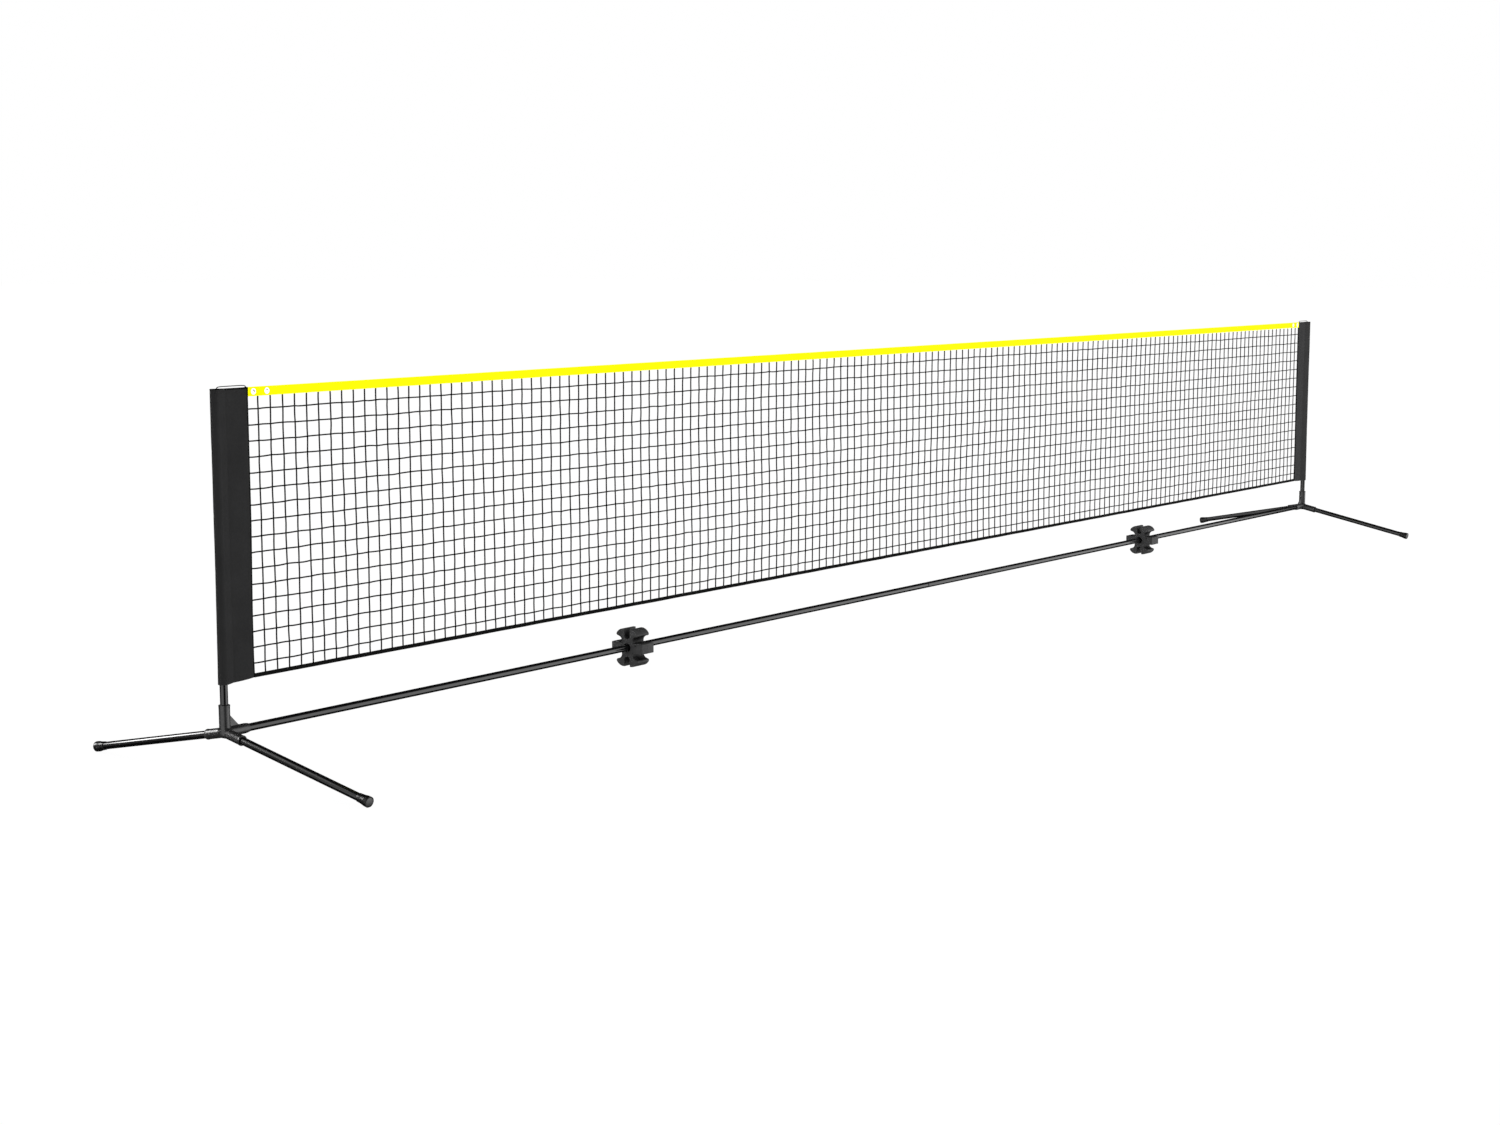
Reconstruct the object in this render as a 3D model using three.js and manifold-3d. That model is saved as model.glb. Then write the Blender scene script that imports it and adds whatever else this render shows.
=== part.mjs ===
// Portable badminton net: a steel tube base with four sloping feet carries two posts,
// and a net with a headband, a hem and two fabric sleeves hangs between the posts.
// X runs along the net, Y across it and Z up. The origin is on the floor under the net's middle.
// All sizes are in millimetres.

import * as THREE from 'three';
import { mergeVertices } from 'three/addons/utils/BufferGeometryUtils.js';
import Module from 'manifold-3d';

const wasm = await Module();
wasm.setup();

// Layout
const POST_SPACING = 6072; // between the two post axes
const TOP_HEIGHT = 920; // top edge of the sleeves and headband
const CROSSBAR_HEIGHT = 110; // crossbar axis above the floor
const FOOT_REACH = 486; // post axis to the middle of a foot cap's end face
const FOOT_SLOPE = THREE.MathUtils.degToRad(11.4); // feet run down to the floor at this angle
const HUB_INSET = 1492; // post axis to the middle of the nearer hub
const GAP = 0.3; // clearance between neighbouring pieces
const ROUND_SIDES = 24;
const CURVE_STEPS = 8;

// Tubes
const TUBE_RADIUS = 9.5;
const TUBE_WALL = 1.2;
const SWAGE_RADIUS = TUBE_RADIUS - TUBE_WALL - GAP;
const SWAGE_LENGTH = 42;
const SWAGE_TAPER = 4;

// Base connectors, measured from the point where the socket axes meet
const BORE_RADIUS = TUBE_RADIUS + GAP;
const POST_SOCKET_RADIUS = 13.3;
const POST_SOCKET_LIP_RADIUS = 14;
const POST_SOCKET_LENGTH = 66;
const POST_SOCKET_FLOOR = 16;
const FOOT_SOCKET_RADIUS = 12.4;
const FOOT_SOCKET_LIP_RADIUS = 13.2;
const FOOT_SOCKET_LENGTH = 63;
const SOCKET_LIP_LENGTH = 6;
const BAR_SOCKET_LENGTH = 70;
const BAR_SOCKET_RADIUS = 12.4;
const BAR_SOCKET_NOSE = 10; // length of the cone at the crossbar socket's mouth
const BAR_SOCKET_NOSE_RADIUS = 11;
const SIDE_SOCKET_FLOOR = 18;
const GUSSET_THICKNESS = 5;
const GUSSET_LENGTH = 40;
const GUSSET_HEIGHT = 42;
const NODE_BOTTOM = -12.4; // underside of the connector, chamfered around its edge
const NODE_CHAMFER_RADIUS = 9;
const NODE_CHAMFER_START = -7;

// Foot caps, measured along the tube from the connector's middle
const FOOT_LENGTH = FOOT_REACH / Math.cos(FOOT_SLOPE);
const CAP_RADIUS = 13.25;
const CAP_COLLAR_RADIUS = 10.6;
const CAP_LENGTH = 34;
const CAP_FLARE = 24;
const CAP_END_WALL = 3;
const CAP_RIM_BEVEL = 0.8;
const GROUND_BLOCK = 80; // side of the block that trims a cap level with the floor

// Posts
const POST_TOP = 912.5;
const PLUG_HEAD = 3.6;
const PLUG_HEAD_TOP_RADIUS = 6.5;
const PLUG_STEM = 16;

// Storage hubs, section measured from the crossbar axis
const HUB_WIDTH = 52;
const HUB_HALF_HEIGHT = 54.5;
const HUB_WAIST = 19.5;
const HUB_ARM_REACH = 56.5;
const HUB_ARM_HALF_HEIGHT = 14.4;
const HUB_SHOULDER = 21; // where a lobe's underside meets the waist
const HUB_CURVE_STEPS = 6;
// A lobe's edge, as [across, up] points: flat top, brow, rounded tip, chin, then the hollow underside.
// The "bend" points steer the curves between the others.
const LOBE_FLAT = [16, HUB_HALF_HEIGHT];
const LOBE_BROW_BEND = [28.5, 53.5];
const LOBE_BROW = [37, 43.5];
const LOBE_TIP_BEND = [41.8, 37.5];
const LOBE_CHIN = [36.5, 34];
const LOBE_HOLLOW_BEND = [21.5, 31.5];
const CLIP_HALF_WIDTH = 9.9;
const CLIP_CENTRE = 35; // centre of a clip slot's round bottom

// Net
const SLEEVE_BOTTOM = 225;
const SLEEVE_OUTER_RADIUS = 13;
const SLEEVE_POCKET_RADIUS = 10.6;
const SLEEVE_SEAM = 30; // post axis to the seam that closes the pocket
const SLEEVE_REACH = 98; // post axis to the sleeve's inner edge
const PANEL_HALF_THICKNESS = 1.5;
const POCKET_TIP = 25; // post axis to the corner where the pocket's walls meet
const SLEEVE_CURVE_STEPS = 16;
const POCKET_TOP = POST_TOP + GAP + PLUG_HEAD + GAP;
const BAND_HEIGHT = 22;
const BAND_HALF_THICKNESS = 2.2;
const BAND_WALL = 0.8;
const HEM_BOTTOM = 227.5;
const HEM_HEIGHT = 10;
const TUCK = 2.5; // how far the netting reaches into the headband and the hem
const NETTING_THICKNESS = 0.8;
const CORD_RADIUS = 1.1;
const CORD_SIDES = 8;
const CORD_INSET = 2.6; // cord axis to the outer edge of the headband or hem

// Cord stretch that stands over each sleeve
const ARCH_RISE = 4.6;
const ARCH_START = 6;
const ARCH_END = 92.5;
const ARCH_SHOULDER = 6;
const ARCH_LEAD = 2; // straight stretch where the cord leaves the fabric
const ARCH_STEPS = 28;

// Eyelets
const EYELET_RADIUS = 7.5;
const EYELET_HOLE = 4.6;
const EYELET_BARREL = 5.1;
const EYELET_FLANGE = 0.8;
const EYELET_HEIGHT = TOP_HEIGHT - BAND_HEIGHT / 2;
const EYELET_OFFSETS = [16, 57]; // from the sleeve's inner edge

const HALF_SPACING = POST_SPACING / 2;
const NET_HALF_LENGTH = HALF_SPACING - SLEEVE_REACH - GAP;

const blackSteel = new THREE.MeshStandardMaterial({ color: 0x0d0d0e, roughness: 0.22, metalness: 0.35 });
const blackPlastic = new THREE.MeshStandardMaterial({ color: 0x2b2b2d, roughness: 0.55 });
const greyPlastic = new THREE.MeshStandardMaterial({ color: 0x4a4a4b, roughness: 0.6 });
const blackFabric = new THREE.MeshStandardMaterial({ color: 0x1f1f20, roughness: 0.9 });
const blackTwine = new THREE.MeshStandardMaterial({ color: 0x0f0f10, roughness: 0.8 });
const yellowFabric = new THREE.MeshStandardMaterial({ color: 0xfafa12, roughness: 0.75 });
const darkCord = new THREE.MeshStandardMaterial({ color: 0x3a3a3c, roughness: 0.8 });
const brightMetal = new THREE.MeshStandardMaterial({ color: 0xe6e6e8, roughness: 0.3, metalness: 0.9 });

// Swaps the axes so that a shape's X, Y and depth become world Y, Z and X.
const TO_X = new THREE.Matrix4().makeBasis(
  new THREE.Vector3(0, 1, 0),
  new THREE.Vector3(0, 0, 1),
  new THREE.Vector3(1, 0, 0),
);

function lathe(profile) {
  const points = profile.map(([radius, z]) => new THREE.Vector2(radius, z));
  const geometry = new THREE.LatheGeometry(points, ROUND_SIDES);
  geometry.rotateX(Math.PI / 2);
  return geometry;
}

function extrudeAlongX(shape, length) {
  const settings = { depth: length, bevelEnabled: false, curveSegments: CURVE_STEPS };
  const geometry = new THREE.ExtrudeGeometry(shape, settings);
  geometry.translate(0, 0, -length / 2);
  return geometry.applyMatrix4(TO_X);
}

function extrudeUp(shape, from, to) {
  const settings = { depth: to - from, bevelEnabled: false, curveSegments: SLEEVE_CURVE_STEPS };
  return new THREE.ExtrudeGeometry(shape, settings).translate(0, 0, from);
}

function rod(radius, from, to) {
  return lathe([[0, from], [radius, from], [radius, to], [0, to]]);
}

function tube(from, to) {
  const inner = TUBE_RADIUS - TUBE_WALL;
  return lathe([[inner, from], [TUBE_RADIUS, from], [TUBE_RADIUS, to], [inner, to], [inner, from]]);
}

// A tube whose far end is swaged down to fit inside the next tube.
function swagedTube(from, to) {
  const inner = TUBE_RADIUS - TUBE_WALL;
  const swageInner = SWAGE_RADIUS - TUBE_WALL;
  return lathe([
    [inner, from],
    [TUBE_RADIUS, from],
    [TUBE_RADIUS, to - SWAGE_TAPER],
    [SWAGE_RADIUS, to],
    [SWAGE_RADIUS, to + SWAGE_LENGTH],
    [swageInner, to + SWAGE_LENGTH],
    [swageInner, to],
    [inner, to - SWAGE_TAPER],
    [inner, from],
  ]);
}

function toSolid(geometry) {
  const bare = geometry.clone();
  bare.deleteAttribute('normal');
  bare.deleteAttribute('uv');
  const merged = mergeVertices(bare);
  const index = merged.index.array;
  const triangles = [];
  for (let i = 0; i < index.length; i += 3) {
    const [a, b, c] = index.subarray(i, i + 3);
    if (a !== b && b !== c && c !== a) triangles.push(a, b, c);
  }
  return new wasm.Manifold(new wasm.Mesh({
    numProp: 3,
    vertProperties: new Float32Array(merged.attributes.position.array),
    triVerts: new Uint32Array(triangles),
  }));
}

function toGeometry(solid) {
  const mesh = solid.getMesh();
  const geometry = new THREE.BufferGeometry();
  geometry.setAttribute('position', new THREE.BufferAttribute(mesh.vertProperties, 3));
  geometry.setIndex(new THREE.BufferAttribute(mesh.triVerts, 1));
  geometry.computeVertexNormals();
  return geometry;
}

// Angle about X that turns +Z down along a foot; side is +1 towards +Y and -1 towards -Y.
function footAngle(side) {
  return -side * (Math.PI / 2 + FOOT_SLOPE);
}

function footSocket(side) {
  const lipStart = FOOT_SOCKET_LENGTH - SOCKET_LIP_LENGTH;
  const socket = lathe([
    [0, 0],
    [FOOT_SOCKET_RADIUS, 0],
    [FOOT_SOCKET_RADIUS, lipStart],
    [FOOT_SOCKET_LIP_RADIUS, FOOT_SOCKET_LENGTH],
    [0, FOOT_SOCKET_LENGTH],
  ]);
  return socket.rotateX(footAngle(side));
}

function postSocket() {
  return lathe([
    [0, NODE_BOTTOM],
    [NODE_CHAMFER_RADIUS, NODE_BOTTOM],
    [POST_SOCKET_RADIUS, NODE_CHAMFER_START],
    [POST_SOCKET_RADIUS, POST_SOCKET_LENGTH - SOCKET_LIP_LENGTH],
    [POST_SOCKET_LIP_RADIUS, POST_SOCKET_LENGTH],
    [0, POST_SOCKET_LENGTH],
  ]);
}

function barSocket() {
  const socket = lathe([
    [0, 0],
    [BAR_SOCKET_RADIUS, 0],
    [BAR_SOCKET_RADIUS, BAR_SOCKET_LENGTH - BAR_SOCKET_NOSE],
    [BAR_SOCKET_NOSE_RADIUS, BAR_SOCKET_LENGTH],
    [0, BAR_SOCKET_LENGTH],
  ]);
  return socket.applyMatrix4(TO_X);
}

// Triangular web in the corner between the post socket and the crossbar socket.
function gusset() {
  const web = new THREE.Shape();
  web.moveTo(0, 0);
  web.lineTo(GUSSET_LENGTH, 0);
  web.lineTo(0, GUSSET_HEIGHT);
  web.closePath();
  const plate = new THREE.ExtrudeGeometry(web, { depth: GUSSET_THICKNESS, bevelEnabled: false });
  plate.translate(0, 0, -GUSSET_THICKNESS / 2);
  plate.rotateX(Math.PI / 2);
  return plate.translate(POST_SOCKET_RADIUS / 2, 0, BAR_SOCKET_RADIUS / 2);
}

// Four-way connector with its crossbar socket towards +X.
function connectorGeometry() {
  let body = toSolid(postSocket());
  for (const piece of [barSocket(), footSocket(1), footSocket(-1), gusset()]) {
    body = body.add(toSolid(piece));
  }
  const bores = [
    rod(BORE_RADIUS, POST_SOCKET_FLOOR, POST_SOCKET_LENGTH + 1),
    rod(BORE_RADIUS, SIDE_SOCKET_FLOOR, BAR_SOCKET_LENGTH + 1).applyMatrix4(TO_X),
    rod(BORE_RADIUS, SIDE_SOCKET_FLOOR, FOOT_SOCKET_LENGTH + 1).rotateX(footAngle(1)),
    rod(BORE_RADIUS, SIDE_SOCKET_FLOOR, FOOT_SOCKET_LENGTH + 1).rotateX(footAngle(-1)),
  ];
  for (const bore of bores) {
    body = body.subtract(toSolid(bore));
  }
  return toGeometry(body);
}

// Cap in the foot's own frame, with the part below the floor cut away to leave a flat land.
function capGeometry(side) {
  const start = FOOT_LENGTH - CAP_LENGTH;
  const cap = lathe([
    [BORE_RADIUS, start],
    [CAP_COLLAR_RADIUS, start],
    [CAP_RADIUS, start + CAP_FLARE],
    [CAP_RADIUS, FOOT_LENGTH - CAP_RIM_BEVEL],
    [CAP_RADIUS - CAP_RIM_BEVEL, FOOT_LENGTH],
    [0, FOOT_LENGTH],
    [0, FOOT_LENGTH - CAP_END_WALL],
    [BORE_RADIUS, FOOT_LENGTH - CAP_END_WALL],
    [BORE_RADIUS, start],
  ]);
  const ground = new THREE.BoxGeometry(GROUND_BLOCK, GROUND_BLOCK, GROUND_BLOCK);
  ground.translate(0, side * FOOT_REACH, -GROUND_BLOCK / 2 - CROSSBAR_HEIGHT);
  ground.rotateX(-footAngle(side));
  return toGeometry(toSolid(cap).subtract(toSolid(ground)));
}

// One quarter of the hub's section, from the middle of its top edge to the corner of an arm.
function hubQuarter() {
  const quarter = new THREE.Path();
  quarter.moveTo(0, HUB_HALF_HEIGHT);
  quarter.lineTo(...LOBE_FLAT);
  quarter.quadraticCurveTo(...LOBE_BROW_BEND, ...LOBE_BROW);
  quarter.quadraticCurveTo(...LOBE_TIP_BEND, ...LOBE_CHIN);
  quarter.quadraticCurveTo(...LOBE_HOLLOW_BEND, HUB_WAIST, HUB_SHOULDER);
  quarter.lineTo(HUB_WAIST, HUB_ARM_HALF_HEIGHT);
  quarter.lineTo(HUB_ARM_REACH, HUB_ARM_HALF_HEIGHT);
  return quarter.getPoints(HUB_CURVE_STEPS);
}

function hubOutline() {
  const topRight = hubQuarter();
  const flip = (points, x, y) => points.map((p) => new THREE.Vector2(p.x * x, p.y * y));
  const bottomRight = flip(topRight, 1, -1).reverse();
  const bottomLeft = flip(topRight, -1, -1).slice(1);
  const topLeft = flip(topRight, -1, 1).reverse().slice(0, -1);
  return new THREE.Shape([...topRight, ...bottomRight.slice(0, -1), ...bottomLeft, ...topLeft]);
}

// Clip slot that opens upwards (direction 1) or downwards (direction -1).
function clipSlot(direction) {
  const mouth = direction * (HUB_HALF_HEIGHT + 1);
  const centre = direction * CLIP_CENTRE;
  const slot = new THREE.Shape();
  slot.moveTo(CLIP_HALF_WIDTH, mouth);
  slot.lineTo(-CLIP_HALF_WIDTH, mouth);
  slot.lineTo(-CLIP_HALF_WIDTH, centre);
  slot.absarc(0, centre, CLIP_HALF_WIDTH, Math.PI, 0, direction < 0);
  return extrudeAlongX(slot, HUB_WIDTH + 2);
}

function hubGeometry() {
  let body = toSolid(extrudeAlongX(hubOutline(), HUB_WIDTH));
  const bore = rod(BORE_RADIUS, -HUB_WIDTH, HUB_WIDTH).applyMatrix4(TO_X);
  for (const cut of [bore, clipSlot(1), clipSlot(-1)]) {
    body = body.subtract(toSolid(cut));
  }
  return toGeometry(body);
}

function plugGeometry() {
  const head = POST_TOP + GAP;
  return lathe([
    [0, POST_TOP - PLUG_STEM],
    [SWAGE_RADIUS, POST_TOP - PLUG_STEM],
    [SWAGE_RADIUS, head],
    [TUBE_RADIUS, head],
    [TUBE_RADIUS, head + PLUG_HEAD / 2],
    [PLUG_HEAD_TOP_RADIUS, head + PLUG_HEAD],
    [0, head + PLUG_HEAD],
  ]);
}

// Adds the round part of a teardrop, from where a line out of the tip touches it above
// to where the mirrored line touches it below.
function teardrop(path, radius, tipX, tipY) {
  const distance = Math.hypot(tipX, tipY);
  const tangent = Math.acos(radius / distance) + Math.atan2(tipY, tipX);
  path.lineTo(radius * Math.cos(tangent), radius * Math.sin(tangent));
  path.absarc(0, 0, radius, tangent, 2 * Math.PI - tangent, false);
}

// Sleeve with its flat panel towards +X; the pocket is open below and closed above.
function sleeveGeometry() {
  const outline = new THREE.Shape();
  outline.moveTo(SLEEVE_REACH, -PANEL_HALF_THICKNESS);
  outline.lineTo(SLEEVE_REACH, PANEL_HALF_THICKNESS);
  outline.lineTo(SLEEVE_SEAM, PANEL_HALF_THICKNESS);
  teardrop(outline, SLEEVE_OUTER_RADIUS, SLEEVE_SEAM, PANEL_HALF_THICKNESS);
  outline.lineTo(SLEEVE_SEAM, -PANEL_HALF_THICKNESS);
  const body = extrudeUp(outline, 0, TOP_HEIGHT - SLEEVE_BOTTOM);

  const pocket = new THREE.Shape();
  pocket.moveTo(POCKET_TIP, 0);
  teardrop(pocket, SLEEVE_POCKET_RADIUS, POCKET_TIP, 0);
  const hollow = extrudeUp(pocket, -1, POCKET_TOP - SLEEVE_BOTTOM);
  return toGeometry(toSolid(body).subtract(toSolid(hollow)));
}

// Channel section for the folded fabric; the fold is at the top (1) or at the bottom (-1).
function foldedBand(bottom, height, fold) {
  const outer = BAND_HALF_THICKNESS;
  const inner = BAND_HALF_THICKNESS - BAND_WALL;
  const closed = fold > 0 ? bottom + height : bottom;
  const open = fold > 0 ? bottom : bottom + height;
  const roof = closed - fold * BAND_WALL;
  const section = new THREE.Shape();
  section.moveTo(-outer, closed);
  section.lineTo(-outer, open);
  section.lineTo(-inner, open);
  section.lineTo(-inner, roof);
  section.lineTo(inner, roof);
  section.lineTo(inner, open);
  section.lineTo(outer, open);
  section.lineTo(outer, closed);
  section.closePath();
  return extrudeAlongX(section, 2 * NET_HALF_LENGTH);
}

function eyeletPositions() {
  const edge = HALF_SPACING - SLEEVE_REACH;
  return EYELET_OFFSETS.flatMap((offset) => [-(edge - offset), edge - offset]);
}

function headbandGeometry() {
  let band = toSolid(foldedBand(TOP_HEIGHT - BAND_HEIGHT, BAND_HEIGHT, 1));
  for (const x of eyeletPositions()) {
    const hole = rod(EYELET_BARREL + GAP, -2 * BAND_HALF_THICKNESS, 2 * BAND_HALF_THICKNESS);
    hole.rotateX(Math.PI / 2);
    hole.translate(x, 0, EYELET_HEIGHT);
    band = band.subtract(toSolid(hole));
  }
  return toGeometry(band);
}

function eyeletGeometry() {
  const inside = BAND_HALF_THICKNESS + GAP;
  const outside = inside + EYELET_FLANGE;
  const eyelet = lathe([
    [EYELET_HOLE, -outside],
    [EYELET_RADIUS, -outside],
    [EYELET_RADIUS, -inside],
    [EYELET_BARREL, -inside],
    [EYELET_BARREL, inside],
    [EYELET_RADIUS, inside],
    [EYELET_RADIUS, outside],
    [EYELET_HOLE, outside],
    [EYELET_HOLE, -outside],
  ]);
  return eyelet.rotateX(Math.PI / 2);
}

function straightCord() {
  const cord = new THREE.CylinderGeometry(CORD_RADIUS, CORD_RADIUS, 2 * NET_HALF_LENGTH, CORD_SIDES);
  return cord.rotateZ(Math.PI / 2);
}

// Cord that leaves the sleeve's top edge, runs level above it and goes back in.
function cordArchGeometry() {
  const foot = TOP_HEIGHT + GAP;
  const level = TOP_HEIGHT + ARCH_RISE;
  const route = new THREE.CatmullRomCurve3([
    new THREE.Vector3(ARCH_START, 0, foot),
    new THREE.Vector3(ARCH_START, 0, foot + ARCH_LEAD),
    new THREE.Vector3(ARCH_START + ARCH_SHOULDER, 0, level),
    new THREE.Vector3((ARCH_START + ARCH_END) / 2, 0, level),
    new THREE.Vector3(ARCH_END - ARCH_SHOULDER, 0, level),
    new THREE.Vector3(ARCH_END, 0, foot + ARCH_LEAD),
    new THREE.Vector3(ARCH_END, 0, foot),
  ]);
  const section = new THREE.Shape();
  section.absarc(0, 0, CORD_RADIUS, 0, 2 * Math.PI, false);
  return new THREE.ExtrudeGeometry(section, {
    steps: ARCH_STEPS,
    extrudePath: route,
    curveSegments: CORD_SIDES,
  });
}

function addMesh(parent, name, geometry, material) {
  const mesh = new THREE.Mesh(geometry, material);
  mesh.name = name;
  parent.add(mesh);
  return mesh;
}

// Everything at one end of the net; it is modelled for the left end, where +X is inwards.
function endAssembly(name, isLeft) {
  const end = new THREE.Group();
  end.position.x = isLeft ? -HALF_SPACING : HALF_SPACING;
  end.rotation.z = isLeft ? 0 : Math.PI;

  const connector = addMesh(end, `${name}_base_connector`, connectorGeometry(), blackPlastic);
  connector.position.z = CROSSBAR_HEIGHT;

  const postFoot = CROSSBAR_HEIGHT + POST_SOCKET_FLOOR + GAP;
  addMesh(end, `${name}_post`, tube(postFoot, POST_TOP), blackSteel);
  addMesh(end, `${name}_post_plug`, plugGeometry(), blackPlastic);

  const sleeve = addMesh(end, `${name}_sleeve`, sleeveGeometry(), blackFabric);
  sleeve.position.z = SLEEVE_BOTTOM;
  addMesh(end, `${name}_cord_arch`, cordArchGeometry(), darkCord);

  for (const side of [-1, 1]) {
    const isFront = isLeft ? side < 0 : side > 0;
    const footName = `${name}_${isFront ? 'front' : 'rear'}_foot`;
    const foot = new THREE.Group();
    foot.position.z = CROSSBAR_HEIGHT;
    foot.rotation.x = footAngle(side);
    const tubeStart = SIDE_SOCKET_FLOOR + GAP;
    const tubeEnd = FOOT_LENGTH - CAP_END_WALL - GAP;
    addMesh(foot, `${footName}_tube`, tube(tubeStart, tubeEnd), blackSteel);
    addMesh(foot, `${footName}_cap`, capGeometry(side), greyPlastic);
    end.add(foot);
  }
  return end;
}

// Four crossbar tubes in a row, joined inside the two hubs and at the middle.
function crossbar() {
  const bar = new THREE.Group();
  bar.position.z = CROSSBAR_HEIGHT;
  const end = HALF_SPACING - SIDE_SOCKET_FLOOR - GAP;
  const hub = HALF_SPACING - HUB_INSET;
  const sections = [
    ['crossbar_left_outer', swagedTube(-end, -hub - GAP)],
    ['crossbar_left_inner', swagedTube(-hub, -GAP)],
    ['crossbar_right_inner', swagedTube(0, hub - GAP)],
    ['crossbar_right_outer', tube(hub, end)],
  ];
  for (const [name, geometry] of sections) {
    addMesh(bar, name, geometry.applyMatrix4(TO_X), blackSteel);
  }
  for (const [name, x] of [['left_storage_hub', -hub], ['right_storage_hub', hub]]) {
    addMesh(bar, name, hubGeometry(), greyPlastic).position.x = x;
  }
  return bar;
}

function netBody() {
  const net = new THREE.Group();
  const hemTop = HEM_BOTTOM + HEM_HEIGHT;
  const bandBottom = TOP_HEIGHT - BAND_HEIGHT;
  const nettingHeight = bandBottom - hemTop + 2 * TUCK;

  addMesh(net, 'headband', headbandGeometry(), yellowFabric);
  addMesh(net, 'hem', foldedBand(HEM_BOTTOM, HEM_HEIGHT, -1), blackFabric);
  addMesh(net, 'headline_cord', straightCord(), darkCord).position.z = TOP_HEIGHT - CORD_INSET;
  addMesh(net, 'hem_cord', straightCord(), darkCord).position.z = HEM_BOTTOM + CORD_INSET;

  const slab = new THREE.BoxGeometry(2 * NET_HALF_LENGTH, NETTING_THICKNESS, nettingHeight);
  addMesh(net, 'netting', slab, blackTwine).position.z = (bandBottom + hemTop) / 2;

  eyeletPositions().forEach((x) => {
    const place = Math.abs(x) > HALF_SPACING - SLEEVE_REACH - EYELET_OFFSETS[1] ? 'outer' : 'inner';
    const name = `${x < 0 ? 'left' : 'right'}_${place}_eyelet`;
    addMesh(net, name, eyeletGeometry(), brightMetal).position.set(x, 0, EYELET_HEIGHT);
  });
  return net;
}

const badmintonNet = new THREE.Group();
badmintonNet.add(endAssembly('left', true), endAssembly('right', false), crossbar(), netBody());

export default badmintonNet;
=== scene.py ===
from math import acos, atan2, cos, exp, hypot, pi, radians, sin

import bmesh
import bpy
import numpy as np
from numpy.linalg import norm
from mathutils import Matrix, Vector, noise
from mathutils.geometry import tessellate_polygon


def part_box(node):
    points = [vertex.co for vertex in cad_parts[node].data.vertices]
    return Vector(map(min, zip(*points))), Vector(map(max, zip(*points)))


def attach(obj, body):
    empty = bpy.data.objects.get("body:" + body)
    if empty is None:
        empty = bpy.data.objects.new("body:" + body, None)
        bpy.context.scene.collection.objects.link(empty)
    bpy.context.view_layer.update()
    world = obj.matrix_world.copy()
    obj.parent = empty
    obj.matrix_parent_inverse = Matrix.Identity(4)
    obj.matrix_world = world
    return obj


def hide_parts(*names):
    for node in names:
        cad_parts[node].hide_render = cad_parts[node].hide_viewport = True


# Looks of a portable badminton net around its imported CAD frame. Lengths are in metres.
# X runs along the net, Y across it and Z up; the near end of the net is the left one, at -X.

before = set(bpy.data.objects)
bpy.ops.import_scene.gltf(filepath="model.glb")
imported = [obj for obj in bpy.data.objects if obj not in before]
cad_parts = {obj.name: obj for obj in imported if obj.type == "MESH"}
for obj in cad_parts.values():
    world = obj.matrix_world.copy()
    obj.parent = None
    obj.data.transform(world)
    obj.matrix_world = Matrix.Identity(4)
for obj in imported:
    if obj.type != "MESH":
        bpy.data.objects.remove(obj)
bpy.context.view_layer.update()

# Places and sizes that the frame gives
POST_LOW, POST_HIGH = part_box("right_post")
POST_X = (POST_LOW.x + POST_HIGH.x) / 2
TUBE_RADIUS = (POST_HIGH.y - POST_LOW.y) / 2
BAR_LOW, BAR_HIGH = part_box("crossbar_left_inner")
BAR_Z = (BAR_LOW.z + BAR_HIGH.z) / 2
HUB_LOW, HUB_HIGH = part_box("right_storage_hub")
HUB_X = (HUB_LOW.x + HUB_HIGH.x) / 2
HUB_HALF_WIDTH = (HUB_HIGH.x - HUB_LOW.x) / 2
HUB_ARM_REACH = HUB_HIGH.y
HUB_HALF_HEIGHT = (HUB_HIGH.z - HUB_LOW.z) / 2
SLEEVE_LOW, SLEEVE_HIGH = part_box("left_sleeve")
SLEEVE_REACH = SLEEVE_HIGH.x + POST_X
SLEEVE_RADIUS = SLEEVE_HIGH.y
BAND_LOW, BAND_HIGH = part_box("headband")
HEM_LOW, HEM_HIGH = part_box("hem")
NETTING_LOW, NETTING_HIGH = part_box("netting")
CAP_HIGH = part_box("left_rear_foot_cap")[1]

# Tubes and sockets, as in the CAD
GAP = 0.0003
TUBE_WALL = 0.0012
SWAGE_RADIUS = TUBE_RADIUS - TUBE_WALL - GAP
SWAGE_LENGTH = 0.042
SWAGE_TAPER = 0.004
BORE_RADIUS = TUBE_RADIUS + GAP
POST_SOCKET_RADIUS = 0.0133
POST_SOCKET_LIP_RADIUS = 0.0140
POST_SOCKET_LENGTH = 0.066
POST_SOCKET_FLOOR = 0.016
SIDE_SOCKET_FLOOR = 0.018
FOOT_SOCKET_RADIUS = 0.0124
FOOT_SOCKET_LIP_RADIUS = 0.0132
FOOT_SOCKET_LENGTH = 0.063
SOCKET_LIP_LENGTH = 0.006
NODE_DEPTH = 0.0072  # how far a socket's round wall runs back past the middle
BAR_SOCKET_LENGTH = 0.070
BAR_SOCKET_RADIUS = 0.0124
BAR_SOCKET_NOSE = 0.010
BAR_SOCKET_NOSE_RADIUS = 0.011
GUSSET_HALF_THICKNESS = 0.0025
GUSSET_LENGTH = 0.040
GUSSET_HEIGHT = 0.042
SOCKET_FILLET = 0.0045
GUSSET_FILLET = 0.0030
FOOT_SLOPE = radians(11.4)
CAP_RADIUS = 0.01325
CAP_COLLAR_RADIUS = 0.0106
CAP_LENGTH = 0.034
CAP_FLARE = 0.024
CAP_RIM_BEVEL = 0.0008
CAP_FACE_RADIUS = 0.0106
CAP_FACE_DEPTH = 0.0014
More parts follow.
